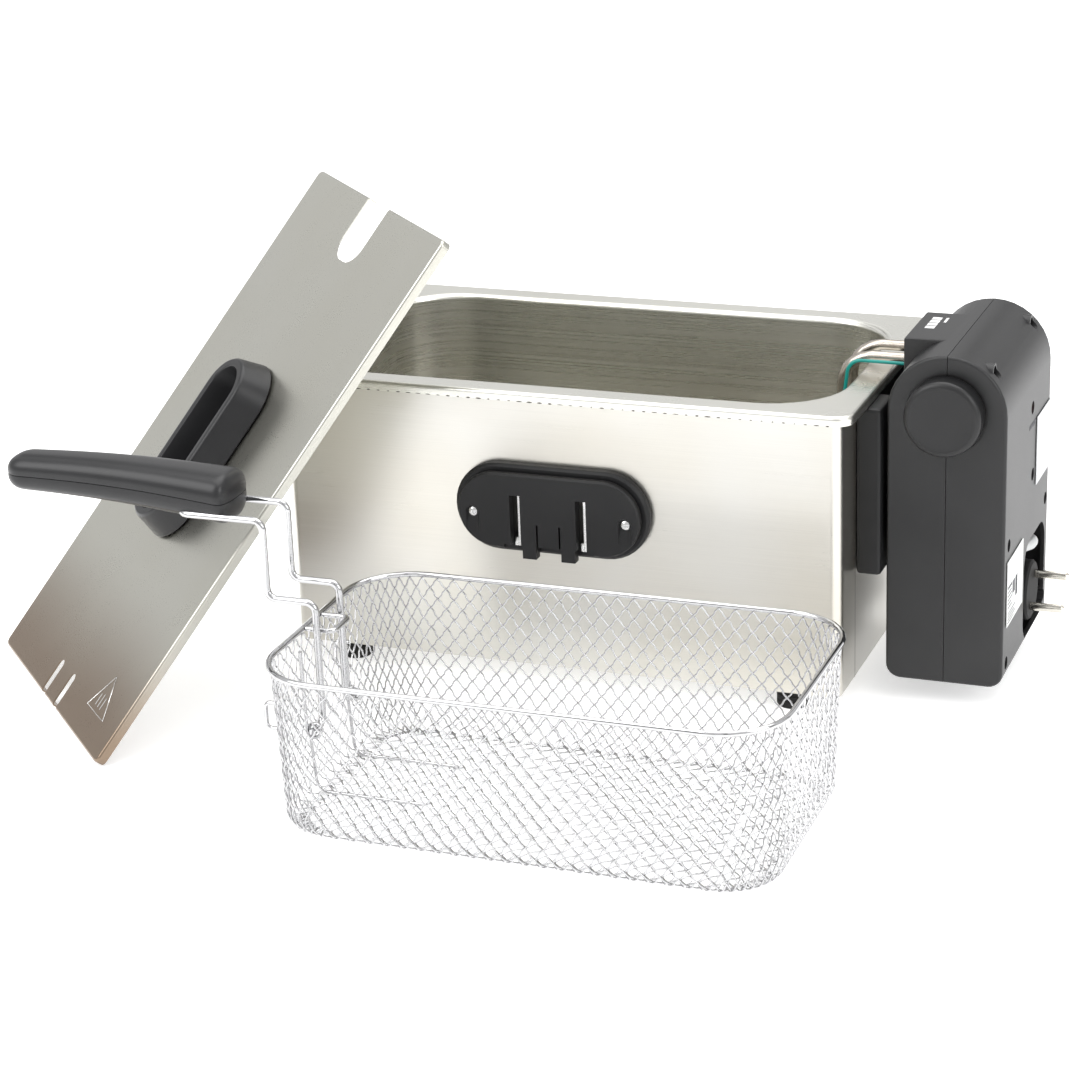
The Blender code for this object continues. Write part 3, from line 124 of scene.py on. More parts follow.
class Graph:
    """The node tree of one material."""

    def __init__(self, name: str) -> None:
        """Starts a material with a Principled shader."""
        self.material = bpy.data.materials.new(name)
        self.material.use_nodes = True
        self.tree = self.material.node_tree
        self.shader = self.tree.nodes["Principled BSDF"]
        self.coordinates: Signal | None = None

    def node(self, kind: str, settings: dict | None = None,
             inputs: dict | None = None) -> bpy.types.Node:
        """Adds a node.

        Args:
            kind: The node's type name.
            settings: Properties to set first, and "stops" for a ramp.
            inputs: Socket names or numbers, with values or signals.

        Returns:
            The new node.
        """
        made = self.tree.nodes.new(kind)
        for key, value in (settings or {}).items():
            if key == "stops":
                self.set_stops(made.color_ramp, value)
            else:
                setattr(made, key, value)
        for key, value in (inputs or {}).items():
            self.feed(made.inputs[key], value)
        return made

    @staticmethod
    def set_stops(ramp: bpy.types.ColorRamp, stops: Sequence[tuple[float, tuple]]) -> None:
        """Gives a colour ramp its stops.

        Args:
            ramp: The ramp.
            stops: For each stop, its position and its colour.
        """
        while len(ramp.elements) < len(stops):
            ramp.elements.new(0.5)
        for element, (position, colour) in zip(ramp.elements, stops):
            element.position = position
            element.color = (*colour, 1.0)

    def feed(self, socket: bpy.types.NodeSocket, value: object) -> None:
        """Links a signal to a socket or sets its value.

        Args:
            socket: The input socket.
            value: A signal, or a plain value that the socket takes.
        """
        if isinstance(value, Signal):
            self.tree.links.new(value.socket, socket)
        else:
            socket.default_value = value

    def maths(self, operation: str, *values: "Signal | float", clamp: bool = False) -> Signal:
        """Adds a Math node and returns its result.

        Args:
            operation: The node's operation.
            values: Its inputs, in order.
            clamp: Whether the result is kept between 0 and 1.

        Returns:
            The result.
        """
        made = self.node("ShaderNodeMath", {"operation": operation, "use_clamp": clamp},
                         dict(enumerate(values)))
        return Signal(self, made.outputs[0])

    def place(self) -> Signal:
        """Returns the object coordinates, which are the frame's own metres."""
        if self.coordinates is None:
            made = self.node("ShaderNodeTexCoord")
            self.coordinates = Signal(self, made.outputs["Object"])
        return self.coordinates

    def axis(self, direction: Sequence[float], start: float = 0.0) -> Signal:
        """Returns the distance along a direction, in metres.

        Args:
            direction: The way that counts up.
            start: The distance that counts as nothing.

        Returns:
            The distance.
        """
        made = self.node("ShaderNodeVectorMath", {"operation": "DOT_PRODUCT"},
                         {0: self.place(), 1: tuple(direction)})
        return Signal(self, made.outputs["Value"]) - start

    def noise(self, scale: Sequence[float] | float, detail: float = 3.0,
              turn: Sequence[float] = (0, 0, 0)) -> Signal:
        """Returns noise with a grain size for each axis.

        Args:
            scale: Grains per metre, along each axis or all.
            detail: Octaves of finer noise.
            turn: Rotation of the axes, in radians.

        Returns:
            The noise, around 0.5.
        """
        sizes = (scale, scale, scale) if isinstance(scale, (int, float)) else tuple(scale)
        source = self.place()
        if any(turn):
            turned = self.node("ShaderNodeMapping", {"vector_type": "TEXTURE"},
                               {"Vector": source, "Rotation": tuple(turn)})
            source = Signal(self, turned.outputs[0])
        scaled = self.node("ShaderNodeVectorMath", {"operation": "MULTIPLY"},
                           {0: source, 1: sizes})
        made = self.node("ShaderNodeTexNoise", {"noise_dimensions": "3D"},
                         {"Vector": Signal(self, scaled.outputs[0]), "Scale": 1.0,
                          "Detail": detail, "Roughness": 0.55})
        return Signal(self, made.outputs["Fac"])

    def mix(self, share: Signal | float, first: Sequence[float] | Signal,
            second: Sequence[float] | Signal) -> Signal:
        """Mixes two colours.

        Args:
            share: How much of the second colour there is, from 0 to 1.
            first: The colour at a share of 0.
            second: The colour at a share of 1.

        Returns:
            The mixed colour.
        """
        made = self.node("ShaderNodeMix", {"data_type": "RGBA"})
        self.feed(made.inputs[0], share)
        for socket, value in ((made.inputs[6], first), (made.inputs[7], second)):
            self.feed(socket, value if isinstance(value, Signal) else (*value, 1.0))
        return Signal(self, made.outputs[2])

    def bump(self, height: Signal, depth: float, strength: float = 1.0) -> None:
        """Raises the surface by a height signal times a depth in metres.

        Args:
            height: The height, from 0 to 1.
            depth: The depth, in metres.
            strength: How much of the tilt shows.
        """
        made = self.node("ShaderNodeBump", {}, {"Strength": strength, "Distance": depth,
                                                "Height": height})
        self.tree.links.new(made.outputs["Normal"], self.shader.inputs["Normal"])

    def surface(self, **values: object) -> None:
        """Sets or feeds the shader's own sockets, by their names with _ for a space.

        Args:
            values: The sockets' names, with values or signals.
        """
        for key, value in values.items():
            socket = self.shader.inputs[key.replace("_", " ")]
            if isinstance(value, tuple) and len(value) == 3 and socket.type == "RGBA":
                value = (*value, 1.0)
            self.feed(socket, value)


# Finishes --------------------------------------------------------------------------------------


@dataclass(frozen=True)
class BrushedSteel:
    """Stainless sheet with a brushed grain along one direction, optionally darkened towards one
    end by painted shade.
    """

    name: str
    colour: tuple = (0.62, 0.61, 0.58)
    roughness: float = 0.30
    grain: tuple = (14.0, 2600.0, 2600.0)
    turn: tuple = (0.0, 0.0, 0.0)
    depth: float = 0.000012
    tint: tuple = (0.60, 0.57, 0.50)
    smudge: float = 0.07
    # painted shade: the direction it runs along, its starting distance, its fade length and its
    # dark colour
    painted_shade_along: tuple = (0.0, 0.0, 0.0)
    painted_shade_from: float = 0.0
    painted_shade_length: float = 0.1
    painted_shade_colour: tuple = (0.25, 0.19, 0.14)

    def build(self) -> bpy.types.Material:
        """Builds the material."""
        graph = Graph(self.name)
        lines = graph.noise(self.grain, 4.0, self.turn)
        broad = graph.noise(9.0, 2.0)
        wiped = graph.noise((26.0, 60.0, 26.0), 4.0)
        colour = graph.mix((broad * 1.6 - 0.3).clamp(), self.colour, self.tint)
        # painted shade: darkest at the start of the direction, fading to the steel's own colour
        # over the fade length, with a ragged edge from the broad noise
        if any(self.painted_shade_along):
            painted_shade_ramp = graph.axis(self.painted_shade_along, self.painted_shade_from) * (1.0 / self.painted_shade_length)
            share = (painted_shade_ramp + (broad - 0.5) * 0.3).clamp()
            colour = graph.mix(share * share * (3.0 - 2.0 * share), self.painted_shade_colour, colour)
        fine = graph.mix((lines * 2.2 - 0.6).clamp(), (0.80, 0.80, 0.80), (1.0, 1.0, 1.0))
        made = graph.node("ShaderNodeMix", {"data_type": "RGBA", "blend_type": "MULTIPLY"})
        graph.feed(made.inputs[0], 0.35)
        graph.feed(made.inputs[6], colour)
        graph.feed(made.inputs[7], fine)
        graph.surface(Base_Color=Signal(graph, made.outputs[2]), Metallic=1.0,
                      Roughness=(lines - 0.5) * 0.16 + (wiped - 0.5) * self.smudge
                      + self.roughness)
        graph.bump(lines, self.depth, 0.55)
        return graph.material


@dataclass(frozen=True)
class BrightWire:
    """Plated or drawn metal with faint waviness."""

    name: str
    colour: tuple = (0.84, 0.84, 0.85)
    roughness: float = 0.10
    wave: float = 0.00002
    stain: tuple = (0.60, 0.58, 0.55)
    stained: float = 0.2

    def build(self) -> bpy.types.Material:
        """Builds the material."""
        graph = Graph(self.name)
        spots = graph.noise(160.0, 4.0)
        waves = graph.noise(420.0, 2.0)
        graph.surface(Base_Color=graph.mix((spots * 2.0 - 0.8).clamp() * self.stained,
                                           self.colour, self.stain),
                      Metallic=1.0, Roughness=(spots - 0.5) * 0.08 + self.roughness)
        graph.bump(waves, self.wave, 0.5)
        return graph.material


@dataclass(frozen=True)
class MouldedPlastic:
    """Moulded plastic or rubber with a fine spark-eroded grain and a little wear."""

    name: str
    colour: tuple
    roughness: float = 0.42
    grain: float = 2600.0
    depth: float = 0.00003
    sheen: float = 0.06
    gloss: float = 0.5

    def build(self) -> bpy.types.Material:
        """Builds the material."""
        graph = Graph(self.name)
        pits = graph.noise(self.grain, 2.0)
        broad = graph.noise(22.0, 3.0)
        lighter = tuple(min(1.0, value * 1.25 + 0.004) for value in self.colour)
        graph.surface(Base_Color=graph.mix((broad * 1.8 - 0.4).clamp(), self.colour, lighter),
                      Roughness=(broad - 0.5) * self.sheen + (pits - 0.5) * 0.10
                      + self.roughness)
        graph.shader.inputs["Specular IOR Level"].default_value = self.gloss
        graph.bump(pits, self.depth, 0.6)
        return graph.material


@dataclass(frozen=True)
class PrintedFilm:
    """A label's film, with a faint mottle."""

    name: str
    colour: tuple
    roughness: float = 0.4
    metallic: float = 0.0

    def build(self) -> bpy.types.Material:
        """Builds the material."""
        graph = Graph(self.name)
        mottle = graph.noise(900.0, 3.0)
        darker = tuple(value * 0.86 for value in self.colour)
        graph.surface(Base_Color=graph.mix(mottle, self.colour, darker), Metallic=self.metallic,
                      Roughness=(mottle - 0.5) * 0.1 + self.roughness)
        return graph.material


class Look(Enum):
    """Every finish of the fryer."""

    HOUSING = BrushedSteel("housing_steel", (0.66, 0.655, 0.63), 0.31)
    PAN = BrushedSteel("pan_steel", (0.74, 0.735, 0.69), 0.28, (3.0, 3.0, 900.0),
                       tint=(0.66, 0.65, 0.59), smudge=0.05, depth=0.000005)
    LID = BrushedSteel("lid_steel", (0.58, 0.575, 0.53), 0.30, (2400.0, 9.0, 2400.0),
                       (0.0, 0.0, 0.0), tint=(0.55, 0.54, 0.48), depth=0.000006)
    HEATER = BrightWire("heater_tube_steel", (0.50, 0.46, 0.41), 0.26, stained=0.6,
                        stain=(0.32, 0.27, 0.22))
    CHROME = BrightWire("chromed_wire", (0.54, 0.54, 0.55), 0.08, stained=0.5,
                        stain=(0.42, 0.42, 0.42))
    STRIP = BrightWire("bent_strip_steel", (0.78, 0.78, 0.77), 0.24)
    SCREW = BrightWire("plated_screw", (0.60, 0.60, 0.60), 0.24)
    PIN = BrightWire("nickel_pin", (0.74, 0.71, 0.64), 0.16)
    SHELL = MouldedPlastic("unit_plastic", (0.0095, 0.0095, 0.0100), 0.40, gloss=0.42)
    MOUNT = MouldedPlastic("mount_plastic", (0.0065, 0.0065, 0.0070), 0.46, gloss=0.30)
    KNOB = MouldedPlastic("knob_plastic", (0.0085, 0.0085, 0.0090), 0.38, gloss=0.40)
    GRIP = MouldedPlastic("grip_plastic", (0.0080, 0.0080, 0.0090), 0.34, 1400.0, 0.00001,
                          gloss=0.42)
    RUBBER = MouldedPlastic("foot_rubber", (0.0090, 0.0090, 0.0090), 0.70, 1800.0, 0.00004,
                            gloss=0.25)
    STAIN = MouldedPlastic("seam_stain", (0.060, 0.052, 0.042), 0.60, 900.0, 0.00003)
    WHITE = MouldedPlastic("inner_plastic", (0.72, 0.71, 0.67), 0.5)
    TEAL = MouldedPlastic("capillary_sleeve", (0.0, 0.22, 0.19), 0.35, 900.0, 0.00002)
    CORD = MouldedPlastic("lead_jacket", (0.42, 0.43, 0.43), 0.46, 1200.0, 0.00002)
    RED = MouldedPlastic("reset_plastic", (0.36, 0.03, 0.02), 0.38)
    PLATE = PrintedFilm("type_plate_film", (0.60, 0.61, 0.62), 0.38, 0.35)
    STICKER = PrintedFilm("sticker_film", (0.82, 0.83, 0.82), 0.5)
    INK = PrintedFilm("print_ink", (0.05, 0.05, 0.06), 0.5)
    PALE_INK = PrintedFilm("pale_print_ink", (0.75, 0.75, 0.75), 0.5)


class Finishes:
    """The materials of the looks, built on first use."""

    def __init__(self) -> None:
        """Starts with nothing built."""
        self.built: dict[Look, bpy.types.Material] = {}

    def get(self, look: Look) -> bpy.types.Material:
        """Returns a look's material."""
        if look not in self.built:
            self.built[look] = look.value.build()
        return self.built[look]


# Shared mesh work ------------------------------------------------------------------------------


def new_piece(name: str, work: bmesh.types.BMesh) -> bpy.types.Object:
    """Turns a bmesh into an object of the scene and frees it.

    Args:
        name: The object's name.
        work: The bmesh.

    Returns:
        The new object.
    """
    data = bpy.data.meshes.new(name)
    work.to_mesh(data)
    work.free()
    piece = bpy.data.objects.new(name, data)
    bpy.context.scene.collection.objects.link(piece)
    return piece


def bake(piece: bpy.types.Object) -> bpy.types.Object:
    """Replaces a piece's modifiers, or a curve, with the plain mesh that they make.

    Args:
        piece: The mesh object or the curve.

    Returns:
        The mesh object: a new one where it was a curve.
    """
    bpy.context.view_layer.update()
    graph = bpy.context.evaluated_depsgraph_get()
    data = bpy.data.meshes.new_from_object(piece.evaluated_get(graph), depsgraph=graph)
    name = piece.name
    data.name = name
    if piece.type == "MESH":
        piece.modifiers.clear()
        piece.data = data
        return piece
    bpy.data.objects.remove(piece, do_unlink=True)
    made = bpy.data.objects.new(name, data)
    bpy.context.scene.collection.objects.link(made)
    return made


def smooth(piece: bpy.types.Object, degrees: float = 35.0) -> None:
    """Shades a piece smooth but for its sharp edges, with its large faces left flat.

    Args:
        piece: The piece.
        degrees: The angle past which an edge stays sharp.
    """
    piece.data.shade_smooth()
    piece.data.set_sharp_from_angle(angle=math.radians(degrees))
    even = piece.modifiers.new("even_shading", "WEIGHTED_NORMAL")
    even.keep_sharp = True
    bake(piece)


def ease_edges(piece: bpy.types.Object, width: float, degrees: float) -> None:
    """Bevels a piece's sharp edges.

    Args:
        piece: The piece.
        width: Width of the bevel, in metres.
        degrees: The angle past which an edge is bevelled.
    """
    ease = piece.modifiers.new("eased_edges", "BEVEL")
    ease.width = width
    ease.segments = 2
    ease.limit_method = "ANGLE"
    ease.angle_limit = math.radians(degrees)
    bake(piece)


def dress(piece: bpy.types.Object, material: bpy.types.Material) -> None:
    """Gives a piece one material."""
    piece.data.materials.clear()
    piece.data.materials.append(material)


def rounded_ring(half_x: float, half_y: float, corner: float, height: float,
                 centre: tuple[float, float], steps: int = 8) -> list[Vector]:
    """Returns points of a rounded rectangle, anticlockwise from above.

    Args:
        half_x: Half its width.
        half_y: Half its depth.
        corner: The radius of its corners.
        height: The height of the whole ring.
        centre: The middle of the rectangle.
        steps: Steps in each corner.

    Returns:
        The points.
    """
    corner = min(corner, half_x, half_y)
    points = []
    for quarter, (side_x, side_y) in enumerate(((1, 1), (-1, 1), (-1, -1), (1, -1))):
        middle_x = centre[0] + side_x * (half_x - corner)
        middle_y = centre[1] + side_y * (half_y - corner)
        for step in range(steps + 1):
            angle = math.radians(90 * (quarter + step / steps))
            points.append(Vector((middle_x + corner * math.cos(angle),
                                  middle_y + corner * math.sin(angle), height)))
    return points


def skin(name: str, rings: Sequence[Sequence[Vector]], close: bool = True,
         place: Matrix | None = None) -> bpy.types.Object:
    """Skins a stack of rings with equal counts into a closed or open-ended piece.

    Args:
        name: The piece's name.
        rings: Rings of points, each the same way round.
        close: Whether the first and last rings get caps.
        place: Where the finished shape goes in the frame.

    Returns:
        The new piece, with its normals outwards.
    """
    work = bmesh.new()
    rows = [[work.verts.new(point) for point in ring] for ring in rings]
    count = len(rows[0])
    for low, high in zip(rows, rows[1:]):
        for i in range(count):
            j = (i + 1) % count
            work.faces.new((low[i], low[j], high[j], high[i]))
    if close:
        work.faces.new(reversed(rows[0]))
        work.faces.new(rows[-1])
    bmesh.ops.remove_doubles(work, verts=work.verts, dist=1e-6)
    if place is not None:
        bmesh.ops.transform(work, matrix=place, verts=work.verts)
    bmesh.ops.recalc_face_normals(work, faces=work.faces)
    return new_piece(name, work)


def revolve(name: str, profile: Sequence[tuple[float, float]], centre: Vector,
            axis: Sequence[float], steps: int = 96, close: bool = True) -> bpy.types.Object:
    """Turns a profile about an axis.

    Args:
        name: The piece's name.
        profile: Pairs of radius and distance along the axis, from one end to the other.
        centre: Where the axis starts.
        axis: The way the axis points.
        steps: Sides round the axis.
        close: Whether the profile's ends get caps.

    Returns:
        The new piece.
    """
    place = Vector(axis).to_track_quat("Z", "Y").to_matrix().to_4x4()
    place.translation = centre
    rings = [[Vector((radius * math.cos(2 * math.pi * i / steps),
                      radius * math.sin(2 * math.pi * i / steps), height))
              for i in range(steps)] for radius, height in profile]
    return skin(name, rings, close, place)


def slabs(name: str, rows: Iterable[Sequence[float]], place: Matrix,
          thickness: float = 0.00012) -> bpy.types.Object:
    """Lays thin flat bars on a face.

    Args:
        name: The piece's name.
        rows: For each bar, its left, bottom, right and top on the face.
        place: The face's frame: X to the right, Y up, Z out.
        thickness: How far the bars stand out.

    Returns:
        The new piece.
    """
    work = bmesh.new()
    for left, bottom, right, top in rows:
        middle = Vector(((left + right) / 2, (bottom + top) / 2, thickness / 2))
        size = Vector((right - left, top - bottom, thickness))
        bmesh.ops.create_cube(work, size=1.0, matrix=Matrix.LocRotScale(middle, None, size))
    bmesh.ops.transform(work, matrix=place, verts=work.verts)
    return new_piece(name, work)


def face_frame(corner: Sequence[float], right: Sequence[float], up: Sequence[float]) -> Matrix:
    """Returns the frame of a flat face from its corner and two directions on it.

    Args:
        corner: Where the face's frame starts.
        right: The way to the right.
        up: The way up.

    Returns:
        The frame: X to the right, Y up, Z out.
    """
    right_way = Vector(right).normalized()
    up_way = Vector(up).normalized()
    place = Matrix((right_way, up_way, right_way.cross(up_way))).transposed().to_4x4()
    place.translation = Vector(corner)
    return place


def carve(piece: bpy.types.Object, tools: Sequence[bpy.types.Object]) -> None:
    """Takes closed tools out of a piece and removes them.

    Args:
        piece: The piece.
        tools: The closed shapes to take out.
    """
    for tool in tools:
        step = piece.modifiers.new("carve", "BOOLEAN")
        step.operation = "DIFFERENCE"
        step.solver = "EXACT"
        step.object = tool
        bake(piece)
        bpy.data.objects.remove(tool, do_unlink=True)


def through(points: Sequence[Vector], steps: int) -> list[Vector]:
    """Returns a smooth path through points, with steps between neighbours.

    Args:
        points: The points that the path meets.
        steps: Steps from one point to the next.

    Returns:
        The path's points.
    """
    guides = [2 * points[0] - points[1], *points, 2 * points[-1] - points[-2]]
    path = []
    for before, here, after, beyond in zip(guides, guides[1:], guides[2:], guides[3:]):
        for step in range(steps):
            t = step / steps
            path.append(0.5 * (2 * here + (after - before) * t
                               + (2 * before - 5 * here + 4 * after - beyond) * t * t
                               + (3 * here - before - 3 * after + beyond) * t ** 3))
    path.append(points[-1])
    return path


def line_curve(name: str, paths: Iterable[Sequence[Vector]], closed: bool = False,
               radius: float = 0.0, sides: int = 3) -> bpy.types.Object:
    """Returns a curve object with one straight-run spline for each path.

    Args:
        name: The object's name.
        paths: The points of each spline.
        closed: Whether each spline ends where it starts.
        radius: The tube's radius, or 0 for a bare line.
        sides: How round the tube is.

    Returns:
        The curve object.
    """
    data = bpy.data.curves.new(name, "CURVE")
    data.dimensions = "3D"
    data.bevel_depth = radius
    data.bevel_resolution = sides
    data.use_fill_caps = bool(radius) and not closed
    for path in paths:
        spline = data.splines.new("POLY")
        spline.points.add(len(path) - 1)
        for slot, point in zip(spline.points, path):
            slot.co = (*point, 1)
        spline.use_cyclic_u = closed
    piece = bpy.data.objects.new(name, data)
    bpy.context.scene.collection.objects.link(piece)
    return piece


class GeometryTree:
    """A Geometry Nodes tree with named inputs."""

    def __init__(self, name: str) -> None:
        """Starts a tree with a geometry input and output."""
        self.group = bpy.data.node_groups.new(name, "GeometryNodeTree")
        self.identifiers: dict[str, str] = {}
        self.socket("Guide", "NodeSocketGeometry", "INPUT")
        self.socket("Result", "NodeSocketGeometry", "OUTPUT")

    def socket(self, name: str, kind: str, side: str = "INPUT") -> None:
        """Adds a named socket and remembers its identifier.

        Args:
            name: The socket's name.
            kind: Its type name.
            side: INPUT or OUTPUT.
        """
        made = self.group.interface.new_socket(name=name, socket_type=kind, in_out=side)
        self.identifiers[name] = made.identifier

    def node(self, kind: str, settings: dict | None = None,
             inputs: dict | None = None) -> bpy.types.Node:
        """Adds a node.

        Args:
            kind: The node's type name.
            settings: Properties to set.
            inputs: Socket names or numbers, with values or output sockets.

        Returns:
            The new node.
        """
        made = self.group.nodes.new(kind)
        for key, value in (settings or {}).items():
            setattr(made, key, value)
        for key, value in (inputs or {}).items():
            if isinstance(value, bpy.types.NodeSocket):
                self.group.links.new(value, made.inputs[key])
            else:
                made.inputs[key].default_value = value
        return made

    def end(self, geometry: bpy.types.NodeSocket, material: bpy.types.Material) -> None:
        """Makes the geometry real, gives it its material and sends it out.

        Args:
            geometry: The socket that gives the geometry.
            material: The material.
        """
        real = self.node("GeometryNodeRealizeInstances", {}, {"Geometry": geometry})
        paint = self.node("GeometryNodeSetMaterial", {},
                          {"Geometry": real.outputs[0], "Material": material})
        self.node("NodeGroupOutput", {}, {0: paint.outputs[0]})

    def run(self, guide: bpy.types.Object, values: dict) -> bpy.types.Object:
        """Runs the tree on a guide and bakes the result.

        Args:
            guide: The curve object that the tree reads.
            values: The named inputs' values.

        Returns:
            The finished piece.
        """
        step = guide.modifiers.new("repeat", "NODES")
        step.node_group = self.group
        for name, value in values.items():
            step[self.identifiers[name]] = value
        return bake(guide)


class NetTree(GeometryTree):
    """Skins many wires at once with one round profile."""

    def __init__(self, material: bpy.types.Material) -> None:
        """Joins the nodes."""
        super().__init__("wire_net")
        self.socket("Wire radius", "NodeSocketFloat")
        self.socket("Sides", "NodeSocketInt")
        given = self.node("NodeGroupInput")
        profile = self.node("GeometryNodeCurvePrimitiveCircle", {},
                            {"Radius": given.outputs["Wire radius"],
                             "Resolution": given.outputs["Sides"]})
        sweep = self.node("GeometryNodeCurveToMesh", {},
                          {"Curve": given.outputs["Guide"],
                           "Profile Curve": profile.outputs["Curve"], "Fill Caps": True})
        self.end(sweep.outputs["Mesh"], material)


class RowTree(GeometryTree):
    """Sets small uneven blobs in a row along a line."""

    def __init__(self, material: bpy.types.Material) -> None:
        """Joins the nodes."""
        super().__init__("blob_row")
        for name, kind in (("Pitch", "NodeSocketFloat"), ("Length", "NodeSocketFloat"),
                           ("Height", "NodeSocketFloat"), ("Seed", "NodeSocketInt")):
            self.socket(name, kind)
        given = self.node("NodeGroupInput")
        spread = self.node("GeometryNodeResampleCurve", {"mode": "LENGTH"},
                           {"Curve": given.outputs["Guide"], "Length": given.outputs["Pitch"]})
        blob = self.node("GeometryNodeMeshIcoSphere", {}, {"Radius": 1.0, "Subdivisions": 1})
        base = self.node("ShaderNodeCombineXYZ", {},
                         {0: given.outputs["Length"], 1: given.outputs["Height"],
                          2: given.outputs["Height"]})
        share = self.node("FunctionNodeRandomValue", {"data_type": "FLOAT_VECTOR"},
                          {0: (0.25, 0.4, 0.5), 1: (1.3, 1.2, 1.2),
                           "Seed": given.outputs["Seed"]})
        size = self.node("ShaderNodeVectorMath", {"operation": "MULTIPLY"},
                         {0: base.outputs[0], 1: share.outputs[0]})
        rows = self.node("GeometryNodeInstanceOnPoints", {},
                         {"Points": spread.outputs["Curve"], "Instance": blob.outputs["Mesh"],
                          "Scale": size.outputs[0]})
        self.end(rows.outputs["Instances"], material)


class Workshop:
    """Makes detailed copies of CAD nodes and hands finished pieces to their bodies."""

    def __init__(self, frame: dict, finishes: Finishes) -> None:
        """Keeps the frame and the finishes."""
        self.nodes = frame["nodes"]
        self.finishes = finishes
        self.slots = {row["node"]: row["material_slot"] for row in frame["record"]["subparts"]}

    def hand_over(self, piece: bpy.types.Object, body: Body, look: Look,
                  nodes: Sequence[str] = (), slot: str | None = None) -> bpy.types.Object:
        """Dresses a piece, lets it ride on its body and hides the CAD nodes that it stands for.

        Args:
            piece: The finished piece.
            body: The body that it rides on.
            look: The finish.
            nodes: The CAD nodes that it stands for.
            slot: The material slot, where it stands for no node; not used.

        Returns:
            The same piece.
        """
        dress(piece, self.finishes.get(look))
        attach(piece, body.value)
        if nodes:
            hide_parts(*nodes)
        LOG.info("%s rides on %s", piece.name, body.value)
        return piece

    def copy_of(self, node: str, merge: float = 2e-6) -> bpy.types.Object:
        """Returns a merged copy of a CAD node with its flat faces joined.

        Args:
            node: The CAD node.
            merge: How close two corners are to be one, in metres.

        Returns:
            The copy.
        """
        work = bmesh.new()
        work.from_mesh(self.nodes[node].data)
        bmesh.ops.remove_doubles(work, verts=work.verts, dist=merge)
        bmesh.ops.dissolve_limit(work, angle_limit=math.radians(FLAT_WITHIN), verts=work.verts,
                                 edges=work.edges)
        return new_piece(node + "_finished", work)

    def refine(self, node: str, body: Body, look: Look, bevel: float = 0.0,
               degrees: float = 35.0) -> bpy.types.Object:
        """Replaces a CAD node with a smooth copy whose sharp edges are eased.

        Args:
            node: The CAD node.
            body: The body that it rides on.
            look: The finish.
            bevel: Width of the eased edges, in metres.
            degrees: The angle past which an edge stays sharp.

        Returns:
            The new piece.
        """
        piece = self.copy_of(node)
        if bevel:
            ease_edges(piece, bevel, degrees)
        smooth(piece, degrees)
        return self.hand_over(piece, body, look, [node])


# Studio ----------------------------------------------------------------------------------------


